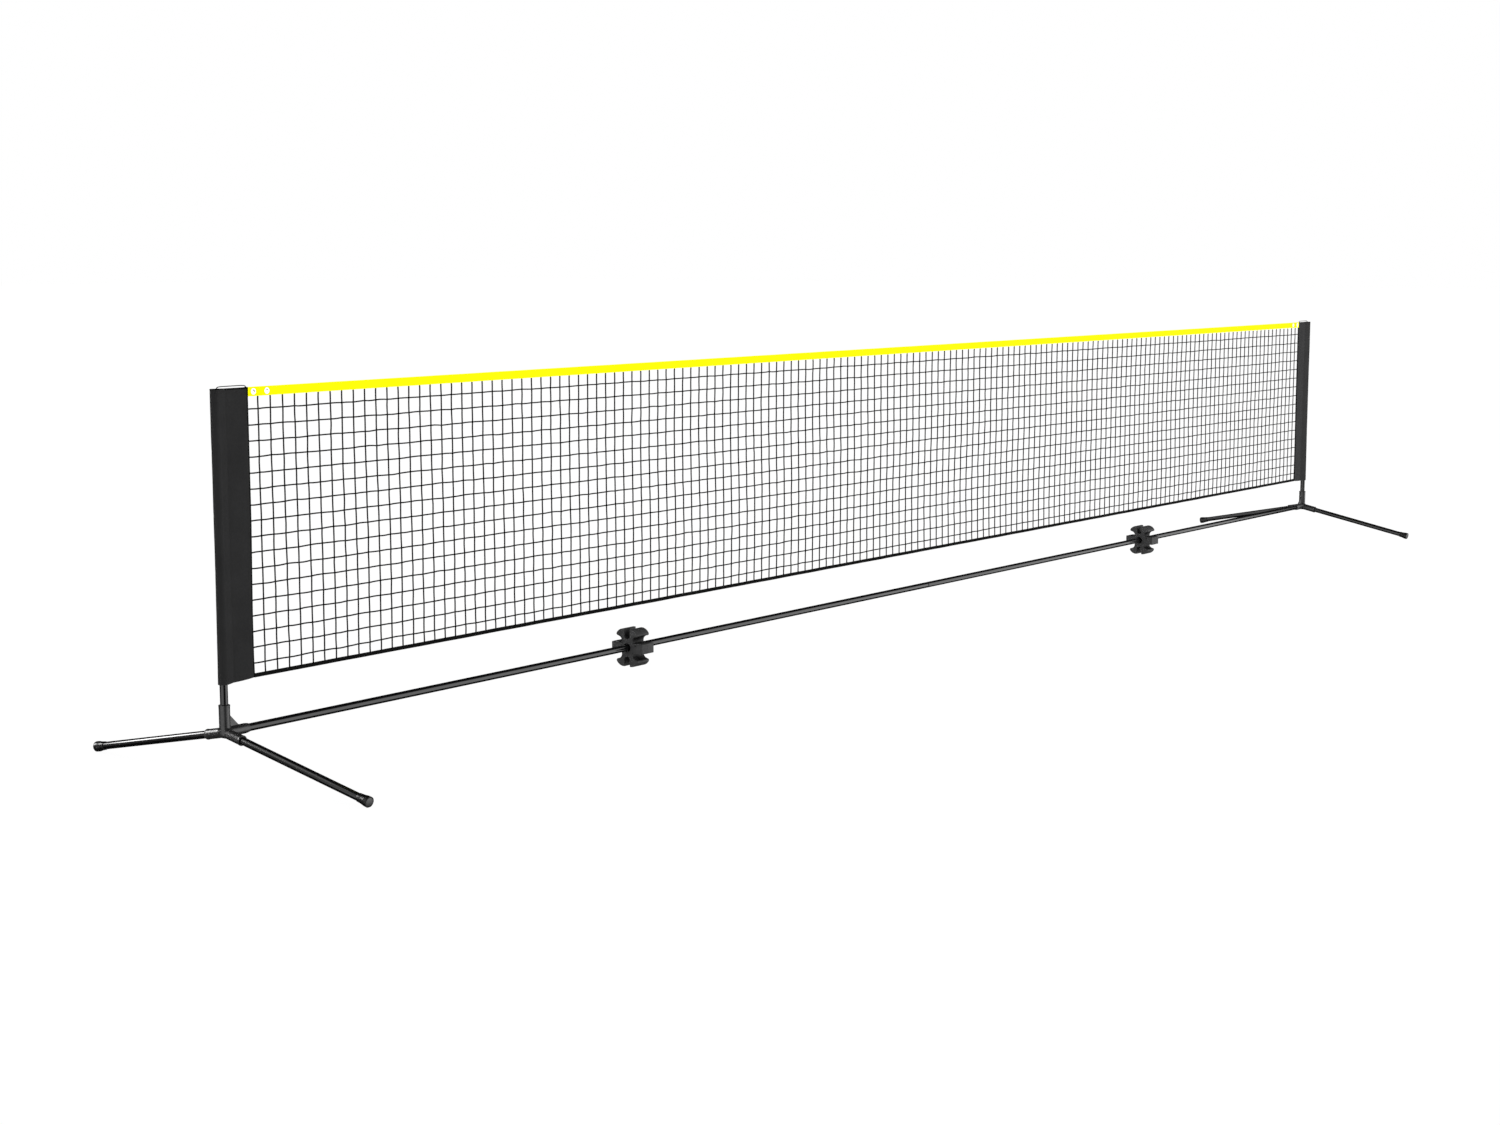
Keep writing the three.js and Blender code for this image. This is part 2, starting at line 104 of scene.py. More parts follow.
FOOT_REACH = CAP_HIGH.y - (CAP_RADIUS - CAP_RIM_BEVEL) * sin(FOOT_SLOPE)
FOOT_LENGTH = FOOT_REACH / cos(FOOT_SLOPE)

# Fabric
CLOTH = 0.0013  # sleeve fabric
TAPE = 0.0008  # headband, hem and binding tape
SLEEVE_SEAM = 0.030  # post axis to the seam that closes the pocket
PANEL_HALF_THICKNESS = 0.0015
STITCH_PITCH = 0.0040
STITCH_REACH = 0.36 * STITCH_PITCH  # half of a stitch's length
STITCH_HALF_WIDTH = 0.00035
STITCH_HEIGHT = 0.00022
NET_PITCH_X = 0.038
NET_PITCH_Z = 0.03785
NET_COLUMNS = 154
NET_ROWS = 17
FIRST_ROW_DROP = 0.030  # headband to the first level string
TWINE_RADIUS = 0.0019
KNOT_RADIUS = 0.95 * TWINE_RADIUS
KNOT_HALF_WIDTH = 0.5 * TWINE_RADIUS
KNOT_SCATTER = 0.0005
UPRIGHT_SLACK = 0.0003
LEVEL_SLACK = 0.0004

ROUND_SIDES = 64
draw = np.random.default_rng(7)
noise.seed_set(7)


# ---- Camera ----

CAMERA_PLACE = (-6.579, -4.254, 1.248)
CAMERA_HEADING = radians(37.272)  # from +X towards +Y
CAMERA_PITCH = radians(7.739)  # below the horizon
CAMERA_LENS = 55.90


def new_object(name, data):
    thing = bpy.data.objects.new(name, data)
    bpy.context.scene.collection.objects.link(thing)
    return thing


def make_camera():
    data = bpy.data.cameras.new("camera")
    data.lens = CAMERA_LENS
    data.sensor_width = 36.0
    data.clip_end = 200.0
    camera = new_object("camera", data)
    camera.location = CAMERA_PLACE
    camera.rotation_euler = (pi / 2 - CAMERA_PITCH, 0, CAMERA_HEADING - pi / 2)
    bpy.context.scene.camera = camera


# ---- Materials ----

WAVE_SCALE = 2 * pi / 20  # a wave texture has 20 / (2 pi) bands for each unit


class Graph:
    """A node tree that is built up node by node."""

    def __init__(self, owner):
        owner.use_nodes = True
        self.nodes = owner.node_tree.nodes
        self.links = owner.node_tree.links

    def add(self, kind, inputs=None, **settings):
        node = self.nodes.new("ShaderNode" + kind)
        for key, value in settings.items():
            setattr(node, key, value)
        self.feed(node, inputs or {})
        return node

    def feed(self, node, inputs):
        """Links a node's inputs to other nodes, or sets them to plain values."""
        for key, value in inputs.items():
            if isinstance(value, bpy.types.NodeSocket):
                self.links.new(value, node.inputs[key])
            else:
                node.inputs[key].default_value = value


class Surface(Graph):
    """A Principled material."""

    def __init__(self, name, colour, roughness, specular=0.5, metallic=0.0):
        self.material = bpy.data.materials.new(name)
        super().__init__(self.material)
        self.shader = self.nodes["Principled BSDF"]
        values = {"Base Color": (*colour, 1), "Roughness": roughness, "Metallic": metallic}
        self.feed(self.shader, {**values, "Specular IOR Level": specular})
        self.place = self.add("TexCoord").outputs["Object"]

    def noise(self, scale, detail=2.0, stretch=(1, 1, 1)):
        place = self.add("Mapping", {"Vector": self.place, "Scale": stretch})
        inputs = {"Vector": place.outputs[0], "Scale": scale, "Detail": detail}
        return self.add("TexNoise", inputs).outputs["Fac"]

    def between(self, value, start, end, low, high):
        inputs = {"Value": value, "From Min": start, "From Max": end, "To Min": low, "To Max": high}
        return self.add("MapRange", inputs).outputs[0]

    def combine(self, operation, first, second):
        return self.add("Math", {0: first, 1: second}, operation=operation).outputs[0]

    def colour(self, factor, dark, light):
        inputs = {0: factor, 6: (*dark, 1), 7: (*light, 1)}
        mix = self.add("Mix", inputs, data_type="RGBA")
        self.feed(self.shader, {"Base Color": mix.outputs[2]})

    def roughness(self, factor, low, high):
        self.feed(self.shader, {"Roughness": self.between(factor, 0.3, 0.7, low, high)})

    def bump(self, height, distance, strength=1.0):
        inputs = {"Height": height, "Distance": distance, "Strength": strength}
        self.feed(self.shader, {"Normal": self.add("Bump", inputs).outputs[0]})

    def weave(self, pitch):
        """Height of a plain weave, from the piece's own cloth coordinates."""
        cloth = self.add("Attribute", attribute_name="cloth").outputs["Vector"]
        threads = {"Vector": cloth, "Scale": WAVE_SCALE / pitch}
        warp = self.add("TexWave", threads, bands_direction="X").outputs["Fac"]
        weft = self.add("TexWave", threads, bands_direction="Y").outputs["Fac"]
        over = self.add("TexChecker", {"Vector": cloth, "Scale": 1 / pitch}).outputs["Fac"]
        return self.add("Mix", {0: over, 2: warp, 3: weft}, data_type="FLOAT").outputs[0]


def painted_steel():
    look = Surface("painted_steel", (0.002, 0.002, 0.0022), 0.16)
    cloud = look.noise(9.0, 3.0)
    patches = look.between(cloud, 0.35, 0.7, 0, 1)
    look.colour(patches, (0.0014, 0.0014, 0.0016), (0.003, 0.003, 0.0032))
    look.roughness(look.noise(60.0, 4.0), 0.12, 0.2)
    look.bump(look.noise(900.0, 2.0), 0.00002, 0.35)
    return look.material


def moulded_plastic(name, recess, skin, gloss=0.18, wear=0.3, roughness=0.5, grain=0.5):
    """Plastic whose edges are rubbed lighter, with painted shade that darkens its recesses and joins to
    nearly black.
    """
    look = Surface(name, skin, roughness, specular=gloss)
    edge = look.add("NewGeometry").outputs["Pointiness"]
    worn = look.between(edge, 0.52, 0.6, 0, wear)
    cloud = look.between(look.noise(25.0, 4.0), 0.3, 0.7, 0.55, 0.85)
    # Painted shade: ambient occlusion mixes the colour towards the near-black shade colour in recesses
    # and where parts meet.
    occlusion = look.add("AmbientOcclusion", {"Distance": 0.03}, samples=6)
    unshaded_share = look.between(occlusion.outputs["AO"], 0.35, 0.9, 0.05, 1)
    rubbed = look.combine("ADD", worn, cloud)
    look.colour(look.combine("MULTIPLY", unshaded_share, rubbed), recess, skin)
    look.roughness(look.noise(140.0, 3.0), roughness - 0.08, roughness + 0.1)
    look.bump(look.noise(2600.0, 3.0), 0.00006, grain)
    return look.material


def woven_cloth(name, dark, light, pitch, specular=0.12):
    look = Surface(name, dark, 0.85, specular=specular)
    weave = look.weave(pitch)
    cloud = look.between(look.noise(14.0, 4.0), 0.3, 0.7, 0, 0.6)
    thread = look.combine("MULTIPLY", weave, 0.4)
    look.colour(look.combine("ADD", cloud, thread), dark, light)
    look.roughness(look.noise(300.0, 2.0), 0.75, 0.92)
    look.bump(weave, 0.00012, 0.6)
    return look.material


def twisted_twine(name, dark, light, pitch):
    look = Surface(name, dark, 0.8, specular=0.1)
    inputs = {"Vector": look.place, "Scale": WAVE_SCALE / pitch}
    inputs.update({"Distortion": 1.5, "Detail Scale": 2.0})
    twist = look.add("TexWave", inputs, bands_direction="DIAGONAL").outputs["Fac"]
    look.colour(twist, dark, light)
    look.roughness(look.noise(400.0, 2.0), 0.65, 0.9)
    look.bump(twist, 0.0002, 0.7)
    return look.material


def plated_metal():
    look = Surface("plated_metal", (0.9, 0.89, 0.86), 0.25, metallic=0.65)
    look.roughness(look.noise(500.0, 3.0), 0.2, 0.38)
    cloud = look.noise(300.0, 2.0)
    look.colour(look.between(cloud, 0.3, 0.7, 0, 1), (0.86, 0.85, 0.82), (0.95, 0.94, 0.91))
    look.bump(look.noise(1500.0, 2.0), 0.00003, 0.3)
    return look.material


def grey(level):
    return (level, level, level)


# Near-black colour of the painted shade in the plastics' recesses and joins
PAINTED_SHADE_BLACK = grey(0.002)
steel = painted_steel()
black_plastic = moulded_plastic("black_plastic", PAINTED_SHADE_BLACK, (0.0155, 0.0155, 0.0158), 0.5, 0.3, 0.34)
grey_plastic = moulded_plastic("grey_plastic", PAINTED_SHADE_BLACK, (0.034, 0.034, 0.0345))
cap_plastic = moulded_plastic("cap_plastic", PAINTED_SHADE_BLACK, grey(0.005), 0.25, 0.05, 0.26, 0.12)
face_plastic = moulded_plastic("cap_face_plastic", PAINTED_SHADE_BLACK, grey(0.10))
sleeve_cloth = woven_cloth("sleeve_cloth", (0.012, 0.012, 0.0123), (0.0165, 0.0165, 0.0168), 0.0007)
binding_cloth = woven_cloth("binding_cloth", grey(0.001), grey(0.0035), 0.0005, 0.05)
headband_cloth = woven_cloth("headband_cloth", (0.79, 0.79, 0.001), (0.85, 0.86, 0.004), 0.0006, 0.03)
black_thread = twisted_twine("black_thread", grey(0.006), grey(0.018), 0.0008)
yellow_thread = twisted_twine("yellow_thread", (0.66, 0.63, 0.003), (0.82, 0.80, 0.012), 0.0008)
twine = twisted_twine("twine", grey(0.0005), grey(0.003), 0.0028)
cord_fibre = twisted_twine("cord_fibre", grey(0.008), (0.032, 0.032, 0.033), 0.0030)
metal = plated_metal()


# ---- Mesh building ----

class Shape:
    """Vertices and faces of one piece, which may be several closed shells."""

    def __init__(self, verts=(), faces=()):
        self.verts = [tuple(v) for v in verts]
        self.faces = [list(f) for f in faces]
        self.cloth = []

    def add(self, verts, faces):
        base = len(self.verts)
        self.verts.extend(tuple(v) for v in verts)
        self.faces.extend([base + i for i in face] for face in faces)

    def moved(self, matrix):
        self.verts = [tuple(matrix @ Vector(v)) for v in self.verts]
        return self


def closed_mesh(name, shape):
    mesh = bpy.data.meshes.new(name)
    mesh.from_pydata(shape.verts, [], shape.faces)
    bm = bmesh.new()
    bm.from_mesh(mesh)
    bmesh.ops.recalc_face_normals(bm, faces=bm.faces)
    bm.to_mesh(mesh)
    bm.free()
    return mesh


def add_piece(name, shape, material, body, replaced=(), sharp=35.0):
    mesh = closed_mesh(name, shape)
    if shape.cloth:
        attribute = mesh.attributes.new("cloth", "FLOAT_VECTOR", "POINT")
        attribute.data.foreach_set("vector", np.array(shape.cloth, np.float32).ravel())
    mesh.shade_smooth()
    mesh.set_sharp_from_angle(angle=radians(sharp))
    mesh.materials.append(material)
    piece = new_object(name, mesh)
    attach(piece, body)
    if replaced:
        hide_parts(*replaced)
    return piece


def curve_points(start, bend, end, steps=10):
    """Points of a smooth bend, without the first."""
    start, bend, end = Vector(start), Vector(bend), Vector(end)
    shares = [step / steps for step in range(1, steps + 1)]
    return [tuple(start * (1 - t) ** 2 + bend * (2 * t * (1 - t)) + end * t ** 2) for t in shares]


def rounded(points, radius, steps=3, closed=False):
    """The same outline with each corner turned into a small curve."""
    result = []
    count = len(points)
    for i, here in enumerate(points):
        if not closed and i in (0, count - 1):
            result.append(tuple(here))
            continue
        here = Vector(here)
        to_last = Vector(points[i - 1]) - here
        to_next = Vector(points[(i + 1) % count]) - here
        reach = min(radius, to_last.length / 2.2, to_next.length / 2.2)
        start = here + to_last.normalized() * reach
        end = here + to_next.normalized() * reach
        result += [tuple(start)] + curve_points(start, here, end, steps)
    return result


def circle(radius, centre=(0.0, 0.0), sides=48):
    angles = [2 * pi * i / sides for i in range(sides)]
    return [(centre[0] + radius * cos(a), centre[1] + radius * sin(a)) for a in angles]


def lathe(profile, sides=ROUND_SIDES, closed=False):
    """Turns a profile of (radius, height) points about Z."""
    shape = Shape()
    rings = []
    for radius, height in profile:
        start = len(shape.verts)
        if radius < 1e-7:
            shape.verts.append((0.0, 0.0, height))
            rings.append([start])
            continue
        shape.verts.extend((x, y, height) for x, y in circle(radius, sides=sides))
        rings.append(list(range(start, start + sides)))
    followers = rings[1:] + (rings[:1] if closed else [])
    for low, high in zip(rings, followers):
        for side in range(sides):
            corners = [low[side % len(low)], low[(side + 1) % len(low)]]
            corners += [high[(side + 1) % len(high)], high[side % len(high)]]
            face = list(dict.fromkeys(corners))
            if len(face) > 2:
                shape.faces.append(face)
    return shape


def tube_profile(start, end, swage=False):
    inner = TUBE_RADIUS - TUBE_WALL
    neck = end - SWAGE_TAPER
    outline = [(inner, start), (TUBE_RADIUS, start)]
    if swage:
        thin = SWAGE_RADIUS - TUBE_WALL
        tip = end + SWAGE_LENGTH
        outline += [(TUBE_RADIUS, neck), (SWAGE_RADIUS, end), (SWAGE_RADIUS, tip)]
        outline += [(thin, tip), (thin, end), (inner, neck)]
    else:
        outline += [(TUBE_RADIUS, end), (inner, end)]
    return rounded(outline, 0.0005, closed=True)


def end_frame(sign):
    """From one end's own frame, with +X inwards from the post, to the whole object's."""
    turn = Matrix.Rotation(pi if sign > 0 else 0, 4, "Z")
    return Matrix.Translation((sign * POST_X, 0, 0)) @ turn


def foot_frame(sign, side):
    """From a foot's own frame, in which +Z runs along the tube, to the whole object's."""
    turn = Matrix.Rotation(-side * (pi / 2 + FOOT_SLOPE), 4, "X")
    return end_frame(sign) @ Matrix.Translation((0, 0, BAR_Z)) @ turn


ALONG_X = Matrix.Rotation(pi / 2, 4, "Y")
ACROSS = Matrix.Rotation(pi / 2, 4, "X")


# ---- Steel tubes ----

def make_crossbar():
    end = POST_X - SIDE_SOCKET_FLOOR - GAP
    sections = [
        ("crossbar_left_outer", -end, -HUB_X - GAP, True),
        ("crossbar_left_inner", -HUB_X, -GAP, True),
        ("crossbar_right_inner", 0.0, HUB_X - GAP, True),
        ("crossbar_right_outer", HUB_X, end, False),
    ]
    for node, start, stop, swage in sections:
        shape = lathe(tube_profile(start, stop, swage), closed=True)
        shape.moved(Matrix.Translation((0, 0, BAR_Z)) @ ALONG_X)
        add_piece(f"{node}_steel", shape, steel, "base", [node])


def make_foot(end, sign, side):
    is_front = side * sign > 0
    node = f"{end}_{'front' if is_front else 'rear'}_foot"
    place = foot_frame(sign, side)
    stop = FOOT_LENGTH - 0.003 - GAP
    bar = lathe(tube_profile(SIDE_SOCKET_FLOOR + GAP, stop), closed=True).moved(place)
    add_piece(f"{node}_steel", bar, steel, "base", [f"{node}_tube"])

    make_cap(node, place)


def make_cap(foot, place):
    """The boot over a foot's end and the paler disc in the boot's face."""
    start = FOOT_LENGTH - CAP_LENGTH
    floor = FOOT_LENGTH - CAP_FACE_DEPTH
    recess = CAP_FACE_RADIUS + 0.0005
    stop_radius = BORE_RADIUS - 0.001
    outline = rounded([
        (BORE_RADIUS, start), (CAP_COLLAR_RADIUS, start),
        (CAP_COLLAR_RADIUS + 0.0006, start + CAP_FLARE * 0.5),
        (CAP_RADIUS - 0.0002, start + CAP_FLARE), (CAP_RADIUS, FOOT_LENGTH),
        (recess, FOOT_LENGTH), (recess, floor),
        (stop_radius, floor), (stop_radius, floor - 0.001),
        (BORE_RADIUS, floor - 0.001),
    ], 0.0009, closed=True)
    boot = above_floor(lathe(outline, closed=True).moved(place))
    add_piece(f"{foot}_cap_boot", boot, cap_plastic, "base", [f"{foot}_cap"])

    spigot_radius = CAP_FACE_RADIUS - 0.003
    disc = rounded([
        (0, floor - 0.0012), (spigot_radius, floor - 0.0012),
        (spigot_radius, floor + 0.0001), (CAP_FACE_RADIUS, floor + 0.0001),
        (CAP_FACE_RADIUS, FOOT_LENGTH - 0.0003), (0, FOOT_LENGTH - 0.0001),
    ], 0.0005)
    face = above_floor(lathe(disc).moved(place))
    add_piece(f"{foot}_cap_face", face, face_plastic, "base")


def above_floor(shape):
    """Flattens what would reach under the floor into the cap's small land."""
    shape.verts = [(x, y, max(z, 0.0)) for x, y, z in shape.verts]
    return shape


def make_post(end, sign):
    place = end_frame(sign)
    post = lathe(tube_profile(POST_LOW.z, POST_HIGH.z), closed=True).moved(place)
    add_piece(f"{end}_post_steel", post, steel, "posts", [f"{end}_post"])

    plug_low, plug_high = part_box(f"{end}_post_plug")
    head = POST_HIGH.z + GAP
    outline = rounded([
        (0, plug_low.z), (SWAGE_RADIUS - 0.0006, plug_low.z),
        (SWAGE_RADIUS, plug_low.z + 0.002), (SWAGE_RADIUS, head),
        (TUBE_RADIUS, head), (TUBE_RADIUS, head + 0.0016),
        (0.0065, plug_high.z), (0, plug_high.z),
    ], 0.0008)
    plug = lathe(outline).moved(place)
    node = f"{end}_post_plug"
    add_piece(f"{node}_moulding", plug, black_plastic, "posts", [node])


# ---- Base connectors ----

def smooth_max(a, b, width):
    """The larger of two distances, with the edge between them rounded off."""
    blend = np.clip(0.5 + 0.5 * (a - b) / width, 0, 1)
    return b + (a - b) * blend + width * blend * (1 - blend)


def smooth_min(a, b, width):
    return -smooth_max(-a, -b, width)


def about_axis(points, axis):
    """How far points are along an axis, and how far away from it."""
    along = points @ axis
    return along, norm(points - along[:, None] * axis, axis=1)


def socket_distance(points, axis, length, radius, mouth_radius, flare):
    """Distance to a socket whose radius changes over its last stretch before the mouth."""
    along, across = about_axis(points, axis)
    start = length - flare
    side = across - (radius + (mouth_radius - radius) * np.clip((along - start) / flare, 0, 1))
    return smooth_max(smooth_max(side, along - length, 0.0010), -along - NODE_DEPTH, 0.0040)


def gusset_distance(points):
    x = points[:, 0] - POST_SOCKET_RADIUS / 2
    z = points[:, 2] - BAR_SOCKET_RADIUS / 2
    slant = hypot(GUSSET_LENGTH, GUSSET_HEIGHT)
    web = (x * GUSSET_HEIGHT + z * GUSSET_LENGTH - GUSSET_LENGTH * GUSSET_HEIGHT) / slant
    web = smooth_max(web, np.abs(points[:, 1]) - GUSSET_HALF_THICKNESS, 0.0012)
    return np.maximum(np.maximum(web, -x), -z)


def connector_distance(points):
    """Signed distance to the connector's filleted surface, for points about its middle."""
    up = np.array([0, 0, 1.0])
    inwards = np.array([1.0, 0, 0])
    feet = [np.array([0, side * cos(FOOT_SLOPE), -sin(FOOT_SLOPE)]) for side in (-1, 1)]
    sockets = [
        (up, POST_SOCKET_LENGTH, POST_SOCKET_RADIUS, POST_SOCKET_LIP_RADIUS, SOCKET_LIP_LENGTH),
        (inwards, BAR_SOCKET_LENGTH, BAR_SOCKET_RADIUS, BAR_SOCKET_NOSE_RADIUS, BAR_SOCKET_NOSE),
    ]
    foot_socket = (FOOT_SOCKET_LENGTH, FOOT_SOCKET_RADIUS, FOOT_SOCKET_LIP_RADIUS, SOCKET_LIP_LENGTH)
    sockets += [(foot, *foot_socket) for foot in feet]
    body = socket_distance(points, *sockets[0])
    for socket in sockets[1:]:
        body = smooth_min(body, socket_distance(points, *socket), SOCKET_FILLET)
    body = smooth_min(body, gusset_distance(points), GUSSET_FILLET)
    bores = [(up, POST_SOCKET_FLOOR)]
    bores += [(axis, SIDE_SOCKET_FLOOR) for axis in (inwards, *feet)]
    for axis, floor in bores:
        along, across = about_axis(points, axis)
        hollow = np.maximum(across - BORE_RADIUS, floor - along)
        body = smooth_max(body, -hollow, 0.0008)
    return body


def settle(points, distance, rounds=4, step=0.00005):
    """Moves points onto the surface where the distance is nothing."""
    for _ in range(rounds):
        here = distance(points)
        slope = np.zeros_like(points)
        for axis in range(3):
            shift = np.zeros(3)
            shift[axis] = step
            slope[:, axis] = (distance(points + shift) - distance(points - shift)) / (2 * step)
        size = np.maximum((slope ** 2).sum(1), 0.05)
        move = slope * (here / size)[:, None]
        length = norm(move, axis=1, keepdims=True)
        points = points - move * np.minimum(1, 0.0015 / np.maximum(length, 1e-9))
    return points


def modified_mesh(piece):
    depsgraph = bpy.context.evaluated_depsgraph_get()
    return bpy.data.meshes.new_from_object(piece.evaluated_get(depsgraph))


def remeshed(mesh, voxel):
    """A copy of a closed mesh, cut into even squares."""
    carrier = new_object("carrier", mesh.copy())
    modifier = carrier.modifiers.new("squares", "REMESH")
    modifier.mode = "VOXEL"
    modifier.voxel_size = voxel
    result = modified_mesh(carrier)
    bpy.data.objects.remove(carrier)
    return result


SLIVER = 0.00015  # edges shorter than this are closed up


def make_connector(end, sign):
    node = f"{end}_base_connector"
    mesh = remeshed(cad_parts[node].data, 0.0010)
    points = np.zeros(len(mesh.vertices) * 3)
    mesh.vertices.foreach_get("co", points)
    points = points.reshape(-1, 3)
    middle = np.array([sign * POST_X, 0, BAR_Z])
    turn = np.array([-sign, -sign, 1.0])
    settled = settle((points - middle) * turn, connector_distance) * turn + middle
    mesh.vertices.foreach_set("co", settled.ravel())
    bm = bmesh.new()
    bm.from_mesh(mesh)
    bmesh.ops.dissolve_degenerate(bm, dist=SLIVER, edges=bm.edges)
    bm.verts.index_update()
    shape = Shape([v.co for v in bm.verts], [[v.index for v in f.verts] for f in bm.faces])
    bm.free()
    add_piece(f"{node}_moulding", shape, black_plastic, "base", [node], sharp=50)


# ---- Storage hubs ----

HUB_WAIST = 0.0195
HUB_ARM_HALF_HEIGHT = 0.0144
HUB_SHOULDER = 0.021
LOBE_FLAT = (0.016, HUB_HALF_HEIGHT)
LOBE_BROW_BEND = (0.0285, 0.0535)
LOBE_BROW = (0.037, 0.0435)
LOBE_TIP_BEND = (0.0418, 0.0375)
LOBE_CHIN = (0.0365, 0.034)
LOBE_HOLLOW_BEND = (0.0215, 0.0315)
CLIP_HALF_WIDTH = 0.0099
CLIP_CENTRE = 0.035
HUB_BEVEL = 0.0011
DIMPLE_RADIUS = 0.0021
DIMPLE_FLOOR_RADIUS = 0.0017
DIMPLE_DEPTH = 0.0022
DIMPLE_PLACE = (-0.031, 0.008)
# Each level's depth below the hub's face, and the hole's radius there
COUNTERSINK = [(0.0, 0.0129), (0.0008, 0.0122), (0.0050, 0.0119), (0.0055, BORE_RADIUS)]


def hub_outline():
    """The hub's section across the crossbar, clip slots included, in order round its edge."""
    quarter = [(0.0, CLIP_CENTRE - CLIP_HALF_WIDTH)]
    for step in range(1, 9):
        angle = -pi / 2 + step * pi / 16
        quarter.append((CLIP_HALF_WIDTH * cos(angle), CLIP_CENTRE + CLIP_HALF_WIDTH * sin(angle)))
    corner = rounded([quarter[-1], (CLIP_HALF_WIDTH, HUB_HALF_HEIGHT), LOBE_FLAT], 0.0012, 4)
    quarter += corner[1:]
    quarter += curve_points(LOBE_FLAT, LOBE_BROW_BEND, LOBE_BROW)
    quarter += curve_points(LOBE_BROW, LOBE_TIP_BEND, LOBE_CHIN)
    quarter += curve_points(LOBE_CHIN, LOBE_HOLLOW_BEND, (HUB_WAIST, HUB_SHOULDER))
    arm = [quarter[-1], (HUB_WAIST, HUB_ARM_HALF_HEIGHT), (HUB_ARM_REACH, HUB_ARM_HALF_HEIGHT)]
    arm.append((HUB_ARM_REACH, 0.0))
    quarter += rounded(arm, 0.0014, 4)[1:]
    bottom_right = [(y, -z) for y, z in reversed(quarter[:-1])]
    right = quarter + bottom_right
    left = [(-y, z) for y, z in reversed(right[1:-1])]
    return right + left


def inset(outline, amount):
    """The outline moved inwards by an amount; it runs clockwise."""
    result = []
    count = len(outline)
    for i, here in enumerate(outline):
        last, following = Vector(outline[i - 1]), Vector(outline[(i + 1) % count])
        before = (Vector(here) - last).normalized()
        after = (following - Vector(here)).normalized()
        inward = Vector((before.y + after.y, -before.x - after.x)).normalized()
        spread = max(0.5, inward.dot(Vector((before.y, -before.x))))
        result.append(tuple(Vector(here) + inward * amount / spread))
    return result


def loft(shape, loops):
    """Joins equal loops of points into a wall, and returns the first and last loop's indices."""
    count = len(loops[0])
    starts = []
    for points in loops:
        starts.append(len(shape.verts))
        shape.verts.extend(points)
    for a, b in zip(starts, starts[1:]):
        for i in range(count):
            j = (i + 1) % count
            shape.faces.append([a + i, a + j, b + j, b + i])
    return [list(range(start, start + count)) for start in (starts[0], starts[-1])]


def ring_faces(around, section):
    """Faces of a closed ring that has so many sections of so many points each."""
    faces = []
    for i in range(around):
        for j in range(section):
            after, beside = (i + 1) % around, (j + 1) % section
            corners = [(i, j), (i, beside), (after, beside), (after, j)]
            faces.append([row * section + column for row, column in corners])
    return faces


def fill(shape, loops):
    """A flat face inside the first loop and outside the others."""
    points = [[Vector(shape.verts[i]) for i in loop] for loop in loops]
    indices = [i for loop in loops for i in loop]
    for triangle in tessellate_polygon(points):
        shape.faces.append([indices[i] for i in triangle])


def make_hub(end, sign):
    outline = hub_outline()
    half = []
    for step in range(5):
        angle = step * pi / 8
        along = HUB_BEVEL * (1 - cos(angle))
        half.append((along - HUB_HALF_WIDTH, HUB_BEVEL * (1 - sin(angle))))
    half += [(-0.0006, 0.0), (-0.0002, -0.00014)]
    levels = half + [(-x, amount) for x, amount in reversed(half)]
    centre = sign * HUB_X

    def ring(x, points):
        return [(centre + x, y, BAR_Z + z) for y, z in points]

    shape = Shape()
    wall = loft(shape, [ring(x, inset(outline, amount)) for x, amount in levels])
    bore_levels = [(depth - HUB_HALF_WIDTH, radius) for depth, radius in COUNTERSINK]
    bore_levels += [(-x, radius) for x, radius in reversed(bore_levels)]
    bore = loft(shape, [ring(x, circle(radius)) for x, radius in bore_levels])
    for face, direction in ((0, -1), (1, 1)):
        x = direction * HUB_HALF_WIDTH
        y, z = DIMPLE_PLACE
        place = (-direction * y, z)
        floor = ring(x - direction * DIMPLE_DEPTH, circle(DIMPLE_FLOOR_RADIUS, place, 20))
        dimple = loft(shape, [ring(x, circle(DIMPLE_RADIUS, place, 20)), floor])
        fill(shape, [dimple[1]])
        fill(shape, [wall[face], bore[face], dimple[0]])
    node = f"{end}_storage_hub"
    add_piece(f"{node}_moulding", shape, grey_plastic, "base", [node], sharp=40)


# ---- Fabric ----

def cumulative(points):
    steps = norm(np.diff(points, axis=0), axis=1)
    return np.concatenate([[0], np.cumsum(steps)])


def resampled(points, spacing):
    """The same line with points at even distances, near the spacing asked for."""
    points = np.array(points, float)
    run = cumulative(points)
    count = max(2, int(round(run[-1] / spacing)) + 1)
    even = np.linspace(0, run[-1], count)
    return np.stack([np.interp(even, run, points[:, axis]) for axis in range(points.shape[1])], 1)


def grid_normals(grid):
    along = np.gradient(grid, axis=0)
    across = np.gradient(grid, axis=1)
    normals = np.cross(along, across)
    return normals / np.maximum(norm(normals, axis=2, keepdims=True), 1e-12)


